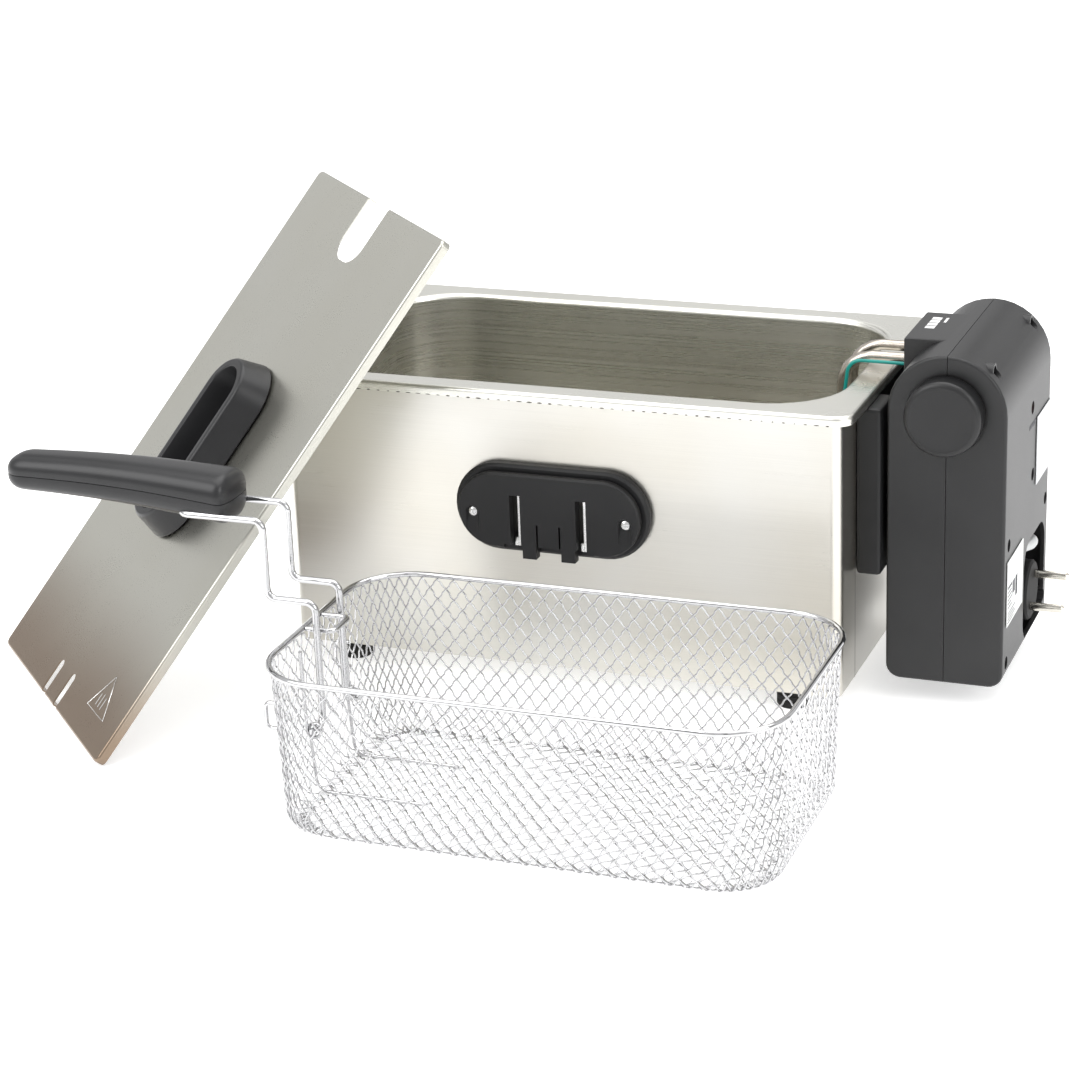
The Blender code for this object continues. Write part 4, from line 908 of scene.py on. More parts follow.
@dataclass
class Studio:
    """Camera, floor and lights, placed from the housing's front wall."""

    origin: Vector
    eye: tuple = (0.5334, -1.3810, 0.6406)
    heading: float = 21.4554
    tip: float = 20.4884
    roll: float = -2.2117
    lens: float = 96.503
    sensor: float = 36.0
    floor_reach: float = 9.0
    floor_glow: float = 0.55
    # each lamp's name, place, aim, size and power
    lamps: tuple = (("key", (-1.15, -1.25, 1.55), (0.0, 0.0, 0.10), 1.5, 26),
                    ("top", (0.15, 0.35, 1.9), (0.0, 0.05, 0.05), 1.9, 26),
                    ("side", (1.55, -0.55, 0.95), (0.15, 0.05, 0.10), 0.9, 9))
    # the room's greys, from straight below to straight above
    room: tuple = ((0.0, 0.60), (0.50, 0.72), (0.52, 0.72), (0.64, 0.85), (0.72, 1.0),
                   (0.90, 1.15), (1.0, 1.10))
    room_strength: float = 0.98
    stripe_count: float = 9.0
    stripe_edge: float = 0.80
    stripe_height: float = 0.54
    stripe_reach: float = 0.22
    stripe_depth: float = 0.88

    def build(self) -> None:
        """Makes the camera, the floor and the lights."""
        self._camera()
        self._floor()
        self._world()
        for lamp in self.lamps:
            self._lamp(*lamp)

    def _camera(self) -> None:
        """Places the camera."""
        yaw, pitch, roll = (math.radians(v) for v in (self.heading, self.tip, self.roll))
        back = Vector((math.sin(yaw) * math.cos(pitch), -math.cos(yaw) * math.cos(pitch),
                       math.sin(pitch)))
        level = Vector((math.cos(yaw), math.sin(yaw), 0))
        upright = back.cross(level)
        right = level * math.cos(roll) + upright * math.sin(roll)
        up = upright * math.cos(roll) - level * math.sin(roll)
        data = bpy.data.cameras.new("studio_camera")
        data.sensor_width = self.sensor
        data.lens = self.lens
        camera = bpy.data.objects.new("studio_camera", data)
        bpy.context.scene.collection.objects.link(camera)
        place = Matrix((right, up, back)).transposed().to_4x4()
        place.translation = self.origin + Vector(self.eye)
        camera.matrix_world = place
        bpy.context.scene.camera = camera

    def _floor(self) -> None:
        """Lays a wide pale floor."""
        work = bmesh.new()
        bmesh.ops.create_grid(work, x_segments=1, y_segments=1, size=self.floor_reach)
        floor = new_piece("studio_floor", work)
        graph = Graph("studio_floor_paint")
        graph.surface(Base_Color=(0.80, 0.80, 0.80), Roughness=0.9,
                      Emission_Color=(1.0, 1.0, 1.0), Emission_Strength=self.floor_glow)
        graph.shader.inputs["Specular IOR Level"].default_value = 0.1
        dress(floor, graph.material)

    def _world(self) -> None:
        """Lights everything from a soft room, bright above, with narrow dark stripes round it."""
        world = bpy.data.worlds.new("studio_world")
        bpy.context.scene.world = world
        world.use_nodes = True
        tree = world.node_tree
        background = tree.nodes["Background"]
        place = tree.nodes.new("ShaderNodeTexCoord")
        split = tree.nodes.new("ShaderNodeSeparateXYZ")
        tree.links.new(place.outputs["Generated"], split.inputs[0])
        ramp = tree.nodes.new("ShaderNodeValToRGB")
        Graph.set_stops(ramp.color_ramp,
                        [(place_on, (grey, grey, grey)) for place_on, grey in self.room])

        def maths(operation: str, first: object, second: object,
                  third: object = 0.0) -> bpy.types.NodeSocket:
            """Adds a Math node to the world.

            Args:
                operation: The node's operation.
                first: A socket or a number.
                second: A socket or a number.
                third: A socket or a number.

            Returns:
                The node's result.
            """
            made = tree.nodes.new("ShaderNodeMath")
            made.operation = operation
            for socket, value in zip(made.inputs, (first, second, third)):
                if isinstance(value, bpy.types.NodeSocket):
                    tree.links.new(value, socket)
                else:
                    socket.default_value = value
            return made.outputs[0]

        height = split.outputs["Z"]
        tree.links.new(maths("MULTIPLY_ADD", height, 0.5, 0.5), ramp.inputs["Fac"])
        tree.links.new(ramp.outputs["Color"], background.inputs["Color"])
        around = maths("ARCTAN2", split.outputs["Y"], split.outputs["X"])
        wave = maths("SINE", maths("MULTIPLY", around, self.stripe_count), 0.0)
        stripe = maths("GREATER_THAN", wave, self.stripe_edge)
        away = maths("ABSOLUTE", maths("SUBTRACT", height, self.stripe_height), 0.0)
        low = maths("LESS_THAN", away, self.stripe_reach)
        dark = maths("MULTIPLY", maths("MULTIPLY", stripe, low), -self.stripe_depth)
        tree.links.new(maths("ADD", dark, self.room_strength), background.inputs["Strength"])

    def _lamp(self, name: str, place: tuple, aim: tuple, size: float, power: float) -> None:
        """Hangs a square area lamp that points at a spot.

        Args:
            name: The lamp's name.
            place: Where it hangs, from the studio's origin.
            aim: The spot, from the studio's origin.
            size: Its width, in metres.
            power: Its power, in watts.
        """
        data = bpy.data.lights.new(name + "_lamp", "AREA")
        data.size = size
        data.energy = power
        lamp = bpy.data.objects.new(name + "_lamp", data)
        bpy.context.scene.collection.objects.link(lamp)
        lamp.location = self.origin + Vector(place)
        lamp.rotation_euler = (Vector(aim) - Vector(place)).to_track_quat("-Z", "Y").to_euler()


# Stowed lead -----------------------------------------------------------------------------------


@dataclass
class StowedLead:
    """The mains lead in the control unit's compartment, from its gland to its plug."""

    shop: Workshop
    radius: float = 0.0031
    coil_radius: float = 0.0325
    coil_pitch: float = 0.0063
    turns: float = 3.4
    run_out: float = 0.0038
    turn_steps: int = 20
    run_out_steps: int = 6
    gland_gap: float = 0.0003
    # from the plug to the coil: in from the unit's outer face, behind its front, above its bottom
    route: tuple = (
        (0.0100, 0.0481, 0.0159), (0.0100, 0.0420, 0.0143), (0.0102, 0.0295, 0.0165),
        (0.0104, 0.0200, 0.0255), (0.0106, 0.0172, 0.0385), (0.0106, 0.0217, 0.0510),
        (0.0100, 0.0310, 0.0588), (0.0088, 0.0420, 0.0612), (0.0072, 0.0540, 0.0600),
        (0.0040, 0.0680, 0.0566), (0.0020, 0.0790, 0.0545), (0.0028, 0.0880, 0.0532),
        (0.0066, 0.0965, 0.0508), (0.0120, 0.1028, 0.0470), (0.0182, 0.1060, 0.0415),
        (0.0238, 0.1066, 0.0350))

    def build(self) -> None:
        shell_low, shell_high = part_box("outer_shell")
        coil_low, coil_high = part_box("cord_coil")
        gland_low, gland_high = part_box("cord_gland")
        centre = (coil_low + coil_high) / 2
        first_x = coil_low.x + self.radius
        exit_point = Vector(((gland_low.x + gland_high.x) / 2, (gland_low.y + gland_high.y) / 2,
                             gland_low.z - self.gland_gap))
        path = [exit_point.copy()]
        drop = exit_point.z - centre.z
        path += [exit_point - Vector((0, 0, drop * share)) for share in (0.25, 0.5, 0.75)]
        count = int(self.turns * self.turn_steps)
        for step in range(count + 1):
            angle = 2 * math.pi * step / self.turn_steps
            late = max(0.0, (step - count + self.run_out_steps) / self.run_out_steps)
            path.append(Vector((first_x + self.coil_pitch * step / self.turn_steps
                                + self.run_out * late * late,
                                centre.y - self.coil_radius * math.cos(angle),
                                centre.z - self.coil_radius * math.sin(angle))))
        lead = [Vector((shell_high.x - x, shell_low.y + y, shell_low.z + z))
                for x, y, z in self.route]
        path += reversed(lead)
        points = through(path, 4)
        piece = line_curve("mains_lead", [points], radius=self.radius, sides=4)
        self.shop.hand_over(piece, Body.UNIT, Look.CORD, ["cord_tail", "cord_coil", "cord_lead"])
        real = sum((b - a).length for a, b in zip(points, points[1:]))
        LOG.info("the lead is %.3f m long", real)
        plug = self.shop.refine("plug_body", Body.UNIT, Look.RUBBER, 0.0004)
        pins = [self.shop.refine(f"plug_pin_{end}", Body.UNIT, Look.PIN)
                for end in ("upper", "lower")]


# Basket ----------------------------------------------------------------------------------------


@dataclass
class BasketForm:
    """The basket's outer form: a rounded, slightly tapering tray."""

    corner: float = 0.034
    taper: float = 0.0030
    fillet: float = 0.0065
    wire: float = 0.00048
    centre: Vector = field(default_factory=Vector)
    half_x: float = 0.0
    half_y: float = 0.0
    top: float = 0.0
    cell: float = 0.0092
    cell_height: float = 0.0112
    gather: float = 0.75
    samples: int = 2400

    def __post_init__(self) -> None:
        """Reads the form's place from the CAD node and measures its outline."""
        low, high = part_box("basket_mesh")
        self.centre = (low + high) / 2
        self.half_x = (high.x - low.x) / 2 - self.wire
        self.half_y = (high.y - low.y) / 2 - self.wire
        self.top = high.z
        self.wall = self.top - self.fillet
        self.spans = [2 * (self.half_y - self.corner), math.pi / 2 * self.corner,
                      2 * (self.half_x - self.corner), math.pi / 2 * self.corner]
        self.around = 2 * sum(self.spans)
        self._lay_out_cells()

    def _lay_out_cells(self) -> None:
        """Works out where each cell of the net starts, with narrower cells round the corners."""
        totals = [0.0]
        for i in range(self.samples):
            totals.append(totals[-1] + self._density((i + 0.5) / self.samples * self.around))
        self.cells = 2 * round(self.around * totals[-1] / self.samples / self.cell / 2)
        self.table = [value / totals[-1] * self.cells for value in totals]

    def _density(self, s: float) -> float:
        """Returns how much closer the cells stand at a place on the outline.

        Args:
            s: Distance along the outline.

        Returns:
            The closeness, 1 on the straight walls.
        """
        start = 0.0
        for span in self.spans * 2:
            if s < start + span:
                if span != self.spans[1]:
                    return 1.0
                return 1 + self.gather * math.sin(math.pi * (s - start) / span)
            start += span
        return 1.0

    def along(self, cell: float) -> float:
        """Returns the distance along the outline of a number of cells.

        Args:
            cell: Cells along the outline.

        Returns:
            The distance, in metres.
        """
        cell %= self.cells
        low = 0
        high = self.samples
        while high - low > 1:
            middle = (low + high) // 2
            if self.table[middle] <= cell:
                low = middle
            else:
                high = middle
        share = (cell - self.table[low]) / (self.table[high] - self.table[low])
        return (low + share) * self.around / self.samples

    def outline(self, s: float, inset: float) -> tuple[Vector, Vector]:
        """Returns a point of the outline and the way out of the wall there.

        Args:
            s: Distance along the outline.
            inset: Distance in from it.

        Returns:
            The point, and the way out as a unit vector.
        """
        s %= self.around
        corner_x = self.half_x - self.corner
        corner_y = self.half_y - self.corner
        sides = ((1, -1, 0.0), (1, 1, 90.0), (-1, 1, 180.0), (-1, -1, 270.0))
        for index, (side_x, side_y, heading) in enumerate(sides):
            straight = self.spans[0] if index % 2 == 0 else self.spans[2]
            turn = math.radians(heading)
            out = Vector((math.cos(turn), math.sin(turn), 0))
            ahead = Vector((-out.y, out.x, 0))
            base = self.centre + Vector((side_x * corner_x, side_y * corner_y, 0))
            if s < straight:
                return base + out * (self.corner - inset) + ahead * s, out
            s -= straight
            if s < self.spans[1]:
                angle = turn + s / self.corner
                way = Vector((math.cos(angle), math.sin(angle), 0))
                return base + ahead * straight + way * (self.corner - inset), way
            s -= self.spans[1]
        return base, out

    def point(self, cell: float, depth: float, lift: float) -> Vector:
        """Returns a point of the net.

        Args:
            cell: Cells along the outline.
            depth: Distance down the wall from the rim, then round the fold and along the floor.
            lift: Distance out of the surface.

        Returns:
            The point, in the frame.
        """
        fold = math.pi / 2 * self.fillet
        if depth < self.wall:
            inset, height, slope = self.taper * depth / self.wall, self.top - depth, 0.0
        elif depth < self.wall + fold:
            slope = (depth - self.wall) / self.fillet
            inset = self.taper + self.fillet * (1 - math.cos(slope))
            height = self.fillet * (1 - math.sin(slope))
        else:
            slope = math.pi / 2
            inset = self.taper + self.fillet + depth - self.wall - fold
            height = 0.0
        spot, out = self.outline(self.along(cell), inset)
        normal = out * math.cos(slope) - Vector((0, 0, math.sin(slope)))
        return Vector((spot.x, spot.y, height + self.wire)) + normal * lift


@dataclass
class WireBasket:
    """The frying basket: a woven net on a welded wire frame."""

    shop: Workshop
    form: BasketForm = field(default_factory=BasketForm)
    weave: float = 0.00042
    overlap: float = 0.006
    floor_lap: float = 0.001
    kink: float = 0.045
    steps: int = 3
    wire_sides: int = 6

    def wall_wires(self) -> list[list[Vector]]:
        """Returns the two crossing families of wires on the walls."""
        form = self.form
        half = form.cell_height / 2
        last = form.wall + math.pi / 2 * form.fillet + self.overlap
        count = int(last / half * self.steps)
        wires = []
        for lean in (1, -1):
            for index in range(form.cells):
                wires.append([])
                for step in range(count + 1):
                    rows = step / self.steps
                    lift = lean * self.weave * math.cos(math.pi * rows)
                    kink = self.kink * math.sin(2 * math.pi * rows)
                    wires[-1].append(form.point(index + lean * (rows / 2 + kink), rows * half,
                                                lift - self.weave))
        return wires

    def floor_wires(self) -> list[list[Vector]]:
        """Returns the two crossing families of wires on the floor."""
        form = self.form
        inset = form.taper + form.fillet - self.floor_lap
        half_x = form.half_x - inset
        half_y = form.half_y - inset
        corner = form.corner - inset
        half = form.cell_height / 2
        rows = int(2 * half_y / half)
        reach = int((2 * half_x + rows * form.cell) / form.cell)
        wires = []
        for lean in (1, -1):
            for index in range(-rows, reach):
                wire = []
                for step in range(rows * self.steps + 1):
                    row = step / self.steps
                    x = -half_x + (index + lean * row / 2) * form.cell
                    y = -half_y + row * half
                    out_x = max(abs(x) - (half_x - corner), 0)
                    out_y = max(abs(y) - (half_y - corner), 0)
                    if math.hypot(out_x, out_y) > corner:
                        continue
                    lift = self.weave * (1 + lean * math.cos(math.pi * row))
                    wire.append(Vector((form.centre.x + x, form.centre.y + y, form.wire + lift)))
                if len(wire) > 2:
                    wires.append(wire)
        return wires

    def net(self, name: str, wires: list[list[Vector]]) -> bpy.types.Object:
        """Skins a family of wires with a Geometry Nodes tree and bakes it.

        Args:
            name: The piece's name.
            wires: The points of each wire.

        Returns:
            The finished net.
        """
        tree = NetTree(self.shop.finishes.get(Look.CHROME))
        return tree.run(line_curve(name, wires),
                        {"Wire radius": self.form.wire, "Sides": self.wire_sides})

    def build(self) -> None:
        """Makes the basket."""
        net = self.net("basket_net", self.wall_wires() + self.floor_wires())
        smooth(net, 70)
        self.shop.hand_over(net, Body.BASKET, Look.CHROME, ["basket_mesh"])
        for node in ("basket_rim", "handle_bracket", "support_wire_front", "support_wire_rear",
                     "drain_hook_front", "drain_hook_rear"):
            self.shop.refine(node, Body.BASKET, Look.CHROME, degrees=60)
        self.shop.refine("handle_wire", Body.HANDLE, Look.CHROME, degrees=60)


@dataclass
class HandleGrip:
    """The basket handle's moulded grip, split along its seam into two halves."""

    shop: Workshop
    rod_width: float = 0.0335
    tip_width: float = 0.0240
    rod_height: float = 0.0265
    tip_height: float = 0.0185
    seam_rise: float = 0.0040
    arch: float = 0.0022
    end_inset: float = 0.0034
    roundness: float = 2.7
    # how far each end's rounding reaches, as a share of the length, and how full it is
    rod_end: tuple = (0.055, 3.2)
    tip_end: tuple = (0.090, 2.3)
    width_power: float = 0.8
    height_power: float = 0.9
    least: float = 0.0002
    seam_gap: float = 0.00018
    lip: float = 0.00035
    rings: int = 64
    sides: int = 28

    def half_size(self, t: float) -> tuple[float, float]:
        """Returns the half width and half height at a share of the length from the rods.

        Args:
            t: The share, 0 at the rods and 1 at the tip.

        Returns:
            The half width and the half height.
        """
        blunt = 1.0
        for (reach, power), distance in ((self.rod_end, t), (self.tip_end, 1 - t)):
            lack = max(0.0, 1 - distance / reach)
            blunt = min(blunt, (1 - lack ** power) ** (1 / power))
        width = self.rod_width + (self.tip_width - self.rod_width) * t ** self.width_power
        height = self.rod_height + (self.tip_height - self.rod_height) * t ** self.height_power
        return max(width / 2 * blunt, self.least), max(height / 2 * blunt, self.least)

    def half(self, node: str, side: int) -> bpy.types.Object:
        """Makes the upper or the lower half.

        Args:
            node: The CAD node that it stands for.
            side: 1 for the upper half, -1 for the lower.

        Returns:
            The new piece.
        """
        low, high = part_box(node)
        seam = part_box("grip_upper")[0].z
        middle = (low.y + high.y) / 2
        start = high.x - self.end_inset
        length = high.x - low.x - 2 * self.end_inset
        stack = []
        for index in range(self.rings + 1):
            t = 0.5 - 0.5 * math.cos(math.pi * index / self.rings)
            width, height = self.half_size(t)
            line = (seam + self.seam_rise * t + self.arch * math.sin(math.pi * t)
                    + side * self.seam_gap)
            ring = []
            for step in range(self.sides + 1):
                angle = math.pi * step / self.sides
                across = math.copysign(abs(math.cos(angle)) ** (2 / self.roundness),
                                       math.cos(angle))
                rise = math.sin(angle) ** (2 / self.roundness)
                lip = self.lip if step in (0, self.sides) else 0.0
                ring.append(Vector((start - length * t,
                                    middle + across * max(width - lip, self.least / 2),
                                    line + side * rise * height)))
            stack.append(ring)
        piece = skin(node + "_moulded", stack)
        smooth(piece, 40)
        return piece

    def build(self) -> None:
        """Makes both halves."""
        for node, side in (("grip_upper", 1), ("grip_lower", -1)):
            self.shop.hand_over(self.half(node, side), Body.HANDLE, Look.GRIP, [node])


# Fryer body ------------------------------------------------------------------------------------


@dataclass
class FryerBody:
    """The housing, the oil pan and their fittings."""

    shop: Workshop
    # each ring of a foot: its share of the height and of the radius
    foot_rings: tuple = ((0.06, 0.96), (0.12, 1.0), (0.34, 1.0), (0.38, 0.955), (0.44, 0.955),
                         (0.48, 1.0), (0.66, 1.0), (0.70, 0.955), (0.76, 0.955), (0.80, 1.0),
                         (1.0, 1.0))
    foot_hollow: float = 0.0012
    seam_pitch: float = 0.0058
    seam_drop: float = 0.0031
    seam_ends: tuple = (0.016, 0.012)
    crimp_length: float = 0.0016
    crimp_height: float = 0.0004
    seam_seeds: tuple = (7, 11)
    fold_line: float = 0.030
    fold_width: float = 0.0004
    fold_ends: tuple = (0.001, 0.006)
    fold_depth: float = 0.00006

    def build(self) -> None:
        """Finishes every piece of the body."""
        self.shop.refine("outer_housing", Body.FRYER, Look.HOUSING, degrees=40)
        self.shop.refine("oil_pan", Body.FRYER, Look.PAN, degrees=40)
        self.shop.refine("base_plate", Body.FRYER, Look.HOUSING)
        for end in ("front_left", "front_right", "rear_left", "rear_right"):
            self.foot("foot_" + end)
        self.shop.refine("guide_rail", Body.FRYER, Look.MOUNT, 0.0003)
        self.seam()
        self.sheet_joint()

    def foot(self, node: str) -> None:
        """Makes a rubber foot with two grooves round it and a hollow underneath.

        Args:
            node: The CAD node that it stands for.
        """
        low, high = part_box(node)
        radius = (high.x - low.x) / 2
        height = high.z - low.z
        profile = [(0.0, self.foot_hollow), (radius * 0.35, self.foot_hollow),
                   (radius * 0.42, 0.0), (radius * 0.90, 0.0)]
        profile += [(radius * width, height * share) for share, width in self.foot_rings]
        profile.append((0.0, height))
        piece = revolve(node + "_moulded", profile,
                        Vector(((low.x + high.x) / 2, (low.y + high.y) / 2, low.z)), (0, 0, 1), 64)
        smooth(piece, 30)
        self.shop.hand_over(piece, Body.FRYER, Look.RUBBER, [node])

    def seam(self) -> None:
        """Sets the small crimp stains along the flange's lower edge on the long sides."""
        pan_low, pan_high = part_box("oil_pan")
        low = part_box("outer_housing")[1].z - self.seam_drop
        tree = RowTree(self.shop.finishes.get(Look.STAIN))
        for name, y, seed in zip(("front", "rear"), (pan_low.y, pan_high.y), self.seam_seeds):
            ends = [Vector((x, y, low)) for x in (pan_low.x + self.seam_ends[0],
                                                  pan_high.x - self.seam_ends[1])]
            row = tree.run(line_curve(f"{name}_seam_crimps", [ends]),
                           {"Pitch": self.seam_pitch, "Length": self.crimp_length,
                            "Height": self.crimp_height, "Seed": seed})
            self.shop.hand_over(row, Body.FRYER, Look.STAIN, slot="brushed_steel")

    def sheet_joint(self) -> None:
        """Marks where the housing's sheet closes, on the wall beside the control unit."""
        low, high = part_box("outer_housing")
        place = face_frame((high.x, low.y, 0), (0, 1, 0), (0, 0, 1))
        rows = [(self.fold_line, low.z + self.fold_ends[0], self.fold_line + self.fold_width,
                 high.z - self.fold_ends[1])]
        joint = slabs("sheet_joint", rows, place, self.fold_depth)
        self.shop.hand_over(joint, Body.FRYER, Look.STAIN, slot="brushed_steel")


@dataclass
class HandleMount:
    """A two-layer seat on a long wall that a clip-on carrying handle slides up into."""

    shop: Workshop
    prefix: str
    # each ring of a channel: its height over the face, its length and its half width
    channel: tuple = ((0.0010, 0.0125, 0.0042), (0.0, 0.0120, 0.0039), (-0.0016, 0.0030, 0.0028))
    slot_x: float = 0.0190
    slot_length: float = 0.031
    strip_top: float = 0.006
    strip_gap: float = 0.0004
    strip_depth: float = 0.0009
    strip_left: float = 0.0003
    strip_right: float = 0.0026
    foot_reach: float = 0.0022
    foot_height: float = 0.0052

    def build(self) -> None:
        """Finishes the seat and adds its bent steel strips."""
        self.shop.refine(f"{self.prefix}_mount_base", Body.FRYER, Look.MOUNT, 0.0003)
        self.cover()
        for hand in ("left", "right"):
            self.shop.refine(f"{self.prefix}_mount_screw_{hand}", Body.FRYER, Look.SCREW)
            self.strip(hand)

    def _face(self) -> Matrix:
        """Returns the frame of the cover's outer face, from its middle."""
        low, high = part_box(f"{self.prefix}_mount_cover")
        front = self.prefix == "front"
        base_low, base_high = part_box(f"{self.prefix}_mount_base")
        middle_z = (base_low.z + base_high.z) / 2
        return face_frame(((low.x + high.x) / 2, low.y if front else high.y, middle_z),
                          (1 if front else -1, 0, 0), (0, 0, 1))

    def cover(self) -> None:
        """Carves a sloping channel below each screw into the cover."""
        node = f"{self.prefix}_mount_cover"
        piece = self.shop.copy_of(node)
        tools = []
        for hand in ("left", "right"):
            low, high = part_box(f"{self.prefix}_mount_screw_{hand}")
            middle = self._face().inverted() @ ((low + high) / 2)
            rings = [rounded_ring(half, (reach + half * 2) / 2, half, depth,
                                  (middle.x, middle.y - reach / 2))
                     for depth, reach, half in self.channel]
            tools.append(skin(f"{node}_channel_{hand}", rings, True, self._face()))
        carve(piece, tools)
        ease_edges(piece, 0.00025, 50)
        smooth(piece)
        self.shop.hand_over(piece, Body.FRYER, Look.MOUNT, [node])

    def strip(self, hand: str) -> None:
        """Sets a bent steel strip inside a slot, with its foot turned inwards.

        Args:
            hand: left or right.
        """
        side = -1 if hand == "left" else 1
        low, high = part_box(f"{self.prefix}_mount_cover")
        depth = -(high.y - low.y) - self.strip_gap
        centre = side * self.slot_x
        top = self.slot_length / 2 - self.strip_top
        bottom = top - self.slot_length
        left = centre - self.strip_left
        rows = [(left, bottom + self.strip_gap, centre + self.strip_right, top - 0.0006),
                (centre - self.foot_reach, bottom + self.strip_gap, left,
                 bottom + self.foot_height)]
        place = self._face() @ Matrix.Translation((0, 0, depth))
        piece = slabs(f"{self.prefix}_{hand}_strip", rows, place, self.strip_depth)
        ease_edges(piece, 0.0002, 30)
        smooth(piece, 30)
        self.shop.hand_over(piece, Body.FRYER, Look.STRIP, slot="screw_steel")


@dataclass
class ControlUnit:
    """The hook-on control unit with its heater and works."""

    shop: Workshop
    width: float = 0.064
    arm_drop: float = 0.0012
    screw_count: int = 7

    def build(self) -> None:
        """Finishes every piece of the unit."""
        for node in ("inner_shell", "outer_shell"):
            self.shop.refine(node, Body.UNIT, Look.SHELL, 0.0003)
        for index in range(1, self.screw_count + 1):
            self.shop.refine(f"shell_screw_{index}", Body.UNIT, Look.SCREW)
        for node, look in (("heating_element", Look.HEATER), ("element_clamp", Look.HEATER),
                           ("capillary", Look.TEAL), ("sensor_bulb", Look.HEATER),
                           ("thermostat_body", Look.WHITE), ("thermal_cutout", Look.WHITE),
                           ("terminal_block", Look.WHITE), ("compartment_ceiling", Look.SHELL),
                           ("cord_gland", Look.RUBBER), ("type_plate", Look.PLATE),
                           ("rating_sticker", Look.STICKER)):
            self.shop.refine(node, Body.UNIT, look, degrees=45)
        self.shop.refine("knob_shaft", Body.KNOB, Look.SCREW)
        self.shop.refine("reset_button", Body.RESET, Look.RED)
        self.knob()
        self.prints()

    def knob(self) -> None:
        """Makes the knob's cap, with a bevelled rim round a slightly dished face."""
        low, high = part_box("knob_cap")
        radius = (high.x - low.x) / 2
        height = high.y - low.y
        centre = Vector(((low.x + high.x) / 2, high.y, (low.z + high.z) / 2))
        profile = ((0, 0.0), (radius - 0.0008, 0.0), (radius, 0.0007), (radius, height * 0.80),
                   (radius - 0.0003, height * 0.87), (radius - 0.0009, height * 0.93),
                   (radius - 0.0018, height * 0.975), (radius - 0.0028, height),
                   (radius - 0.0034, height), (radius - 0.0041, height - 0.0003),
                   (radius * 0.5, height - 0.00055), (0, height - 0.0006))
        cap = revolve("knob_cap_moulded", profile, centre, (0, -1, 0), 128)
        smooth(cap, 50)
        self.shop.hand_over(cap, Body.KNOB, Look.KNOB, ["knob_cap"])

    def prints(self) -> None:
        """Lays plain bars and rings on the plate, the sticker, the shell and the arm."""
        low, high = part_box("type_plate")
        place = face_frame((high.x, low.y, low.z), (0, 1, 0), (0, 0, 1))
        pale = [(0.0150, 0.0302, 0.0340, 0.0330), (0.0150, 0.0262, 0.0290, 0.0278),
                (0.0030, 0.0190, 0.0330, 0.0208)]
        pale += [(0.0030, 0.0150 - 0.0030 * i, 0.0340 - 0.0045 * (i % 2), 0.0160 - 0.0030 * i)
                 for i in range(5)]
        self._print("type_plate_print", pale, place, Look.PALE_INK, "silver_label")
        ring = revolve("type_plate_ring", ((0.0032, 0), (0.0045, 0), (0.0045, 0.00012),
                                           (0.0032, 0.00012), (0.0032, 0)),
                       place @ Vector((0.0080, 0.0300, 0)), (1, 0, 0), 40, False)
        self.shop.hand_over(ring, Body.UNIT, Look.PALE_INK, slot="silver_label")
        low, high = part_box("rating_sticker")
        place = face_frame((high.x, low.y, low.z), (0, 1, 0), (0, 0, 1))
        dark = [(0.0016, 0.0212, 0.0110, 0.0226), (0.0130, 0.0150, 0.0188, 0.0222)]
        dark += [(0.0016, 0.0190 - 0.0022 * i, 0.0100 + 0.0012 * (i % 3), 0.0196 - 0.0022 * i)
                 for i in range(5)]
        dark += [(0.0016, 0.0070 - 0.0018 * i, 0.0200 - 0.0030 * (i % 2), 0.0075 - 0.0018 * i)
                 for i in range(4)]
        dark += [(0.0205 + 0.00095 * i, 0.0110, 0.0205 + 0.00095 * i + 0.0003 + 0.0002 * (i % 2),
                  0.0225) for i in range(5)]
        self._print("rating_sticker_print", dark, place, Look.INK, "paper_label")
        low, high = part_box("outer_shell")
        place = face_frame((high.x, low.y + 0.0585, low.z + 0.1270), (0, 1, 0), (0, 0, 1))
        marks = [(0.0018 * i, 0, 0.0018 * i + 0.0011, 0.0024) for i in range(9)]
        self._print("reset_marks", marks, place, Look.INK, "black_plastic")
        place = face_frame((high.x - self.width + 0.0125, low.y + 0.0520, high.z - self.arm_drop),
                           (0, 1, 0), (-1, 0, 0))
        marks = [(0.0056 * i, 0.0, 0.0056 * i + 0.0044, 0.0052) for i in range(4)]
        marks.append((0.0125, -0.0036, 0.0212, -0.0022))
        self._print("arm_marks", marks, place, Look.PALE_INK, "black_plastic")

    def _print(self, name: str, rows: Sequence[Sequence[float]], place: Matrix, look: Look,
               slot: str) -> None:
        """Lays one set of bars and lets it ride on the unit."""
        self.shop.hand_over(slabs(name, rows, place), Body.UNIT, look, slot=slot)


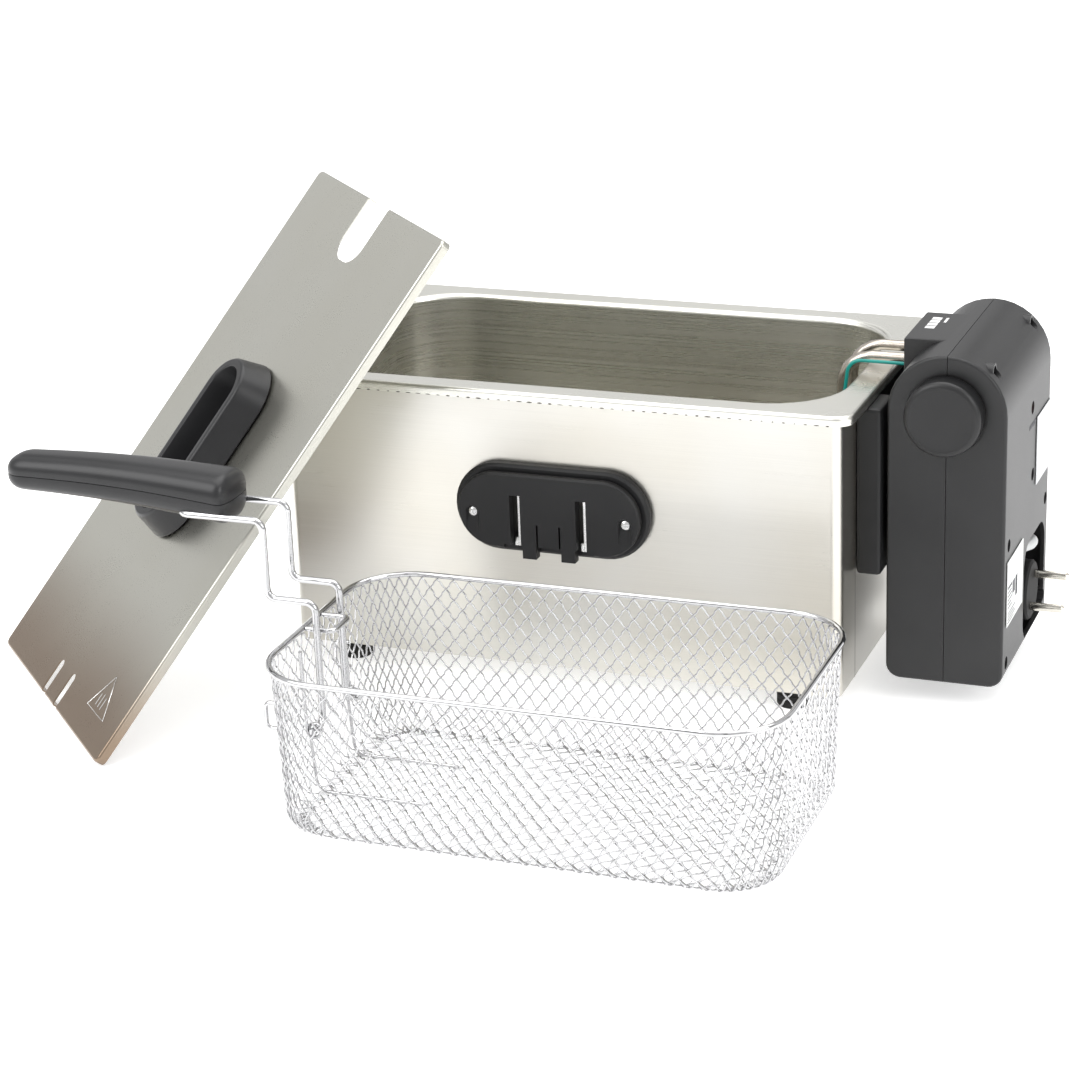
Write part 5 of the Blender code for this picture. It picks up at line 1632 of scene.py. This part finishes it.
@dataclass
class Lid:
    """The loose steel lid and its moulded grip."""

    shop: Workshop
    turn: float = math.radians(44.7)
    lean: float = math.radians(50.1)
    mark: tuple = ((0.1539, 0.0398), (0.1413, 0.0172), (0.1700, 0.0178))
    mark_lift: float = 0.00002
    mark_line: float = 0.00035
    # painted shade darkening the lid's lower end: its start past the lower edge and its fade
    # length
    painted_shade_start: float = 0.008
    painted_shade_length: float = 0.085

    def frame(self) -> Matrix:
        """Returns the lid's own frame: across, up its length and out of its top face."""
        across = Vector((math.sin(self.turn), -math.cos(self.turn), 0))
        along = Vector((math.cos(self.turn) * math.cos(self.lean),
                        math.sin(self.turn) * math.cos(self.lean), math.sin(self.lean)))
        out = across.cross(along)
        points = [vertex.co for vertex in self.shop.nodes["lid_plate"].data.vertices]
        place = Matrix((across, along, out)).transposed().to_4x4()
        place.translation = (across * min(point.dot(across) for point in points)
                             + along * min(point.dot(along) for point in points)
                             + out * max(point.dot(out) for point in points))
        return place

    def build(self) -> None:
        """Finishes every piece of the lid."""
        place = self.frame()
        along = place.to_3x3().col[1]
        start = place.translation.dot(along)
        # the lid's steel gets painted shade, darkest at its lower end and fading out up its length
        self.shop.finishes.built[Look.LID] = replace(
            Look.LID.value, painted_shade_along=tuple(along), painted_shade_from=start + self.painted_shade_start,
            painted_shade_length=self.painted_shade_length).build()
        self.shop.refine("lid_plate", Body.LID, Look.LID, degrees=40)
        self.shop.refine("lid_grip", Body.LID, Look.GRIP, degrees=45)
        for end in ("lower", "upper"):
            self.shop.refine(f"lid_screw_{end}", Body.LID, Look.SCREW)
        self.etched_mark(place)

    def etched_mark(self, place: Matrix) -> None:
        """Lays a plain triangle with three bars in it on the lid's lower corner.

        Args:
            place: The lid's own frame.
        """
        corners = [place @ Vector((across, along, self.mark_lift)) for across, along in self.mark]
        outline = bake(line_curve("etched_triangle", [corners], True, self.mark_line, 1))
        self.shop.hand_over(outline, Body.LID, Look.STRIP, slot="lid_steel")
        rows = [(0.1500 + 0.0040 * i, 0.0205, 0.1508 + 0.0040 * i, 0.0285 - 0.0010 * abs(i - 1))
                for i in range(3)]
        bars = slabs("etched_bars", rows, place, 0.0001)
        self.shop.hand_over(bars, Body.LID, Look.STRIP, slot="lid_steel")


def main() -> None:
    """Builds the studio and every sub-assembly in order."""
    logging.basicConfig(level=logging.INFO, format="%(name)s: %(message)s")
    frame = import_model()
    low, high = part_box("outer_housing")
    Studio(Vector(((low.x + high.x) / 2, low.y, 0.0))).build()
    bpy.context.scene.view_settings.view_transform = "Standard"
    shop = Workshop(frame, Finishes())
    for part in (StowedLead(shop), WireBasket(shop), HandleGrip(shop), FryerBody(shop),
                 HandleMount(shop, "front"), HandleMount(shop, "rear"), ControlUnit(shop),
                 Lid(shop)):
        part.build()


if __name__ == "__main__":
    main()
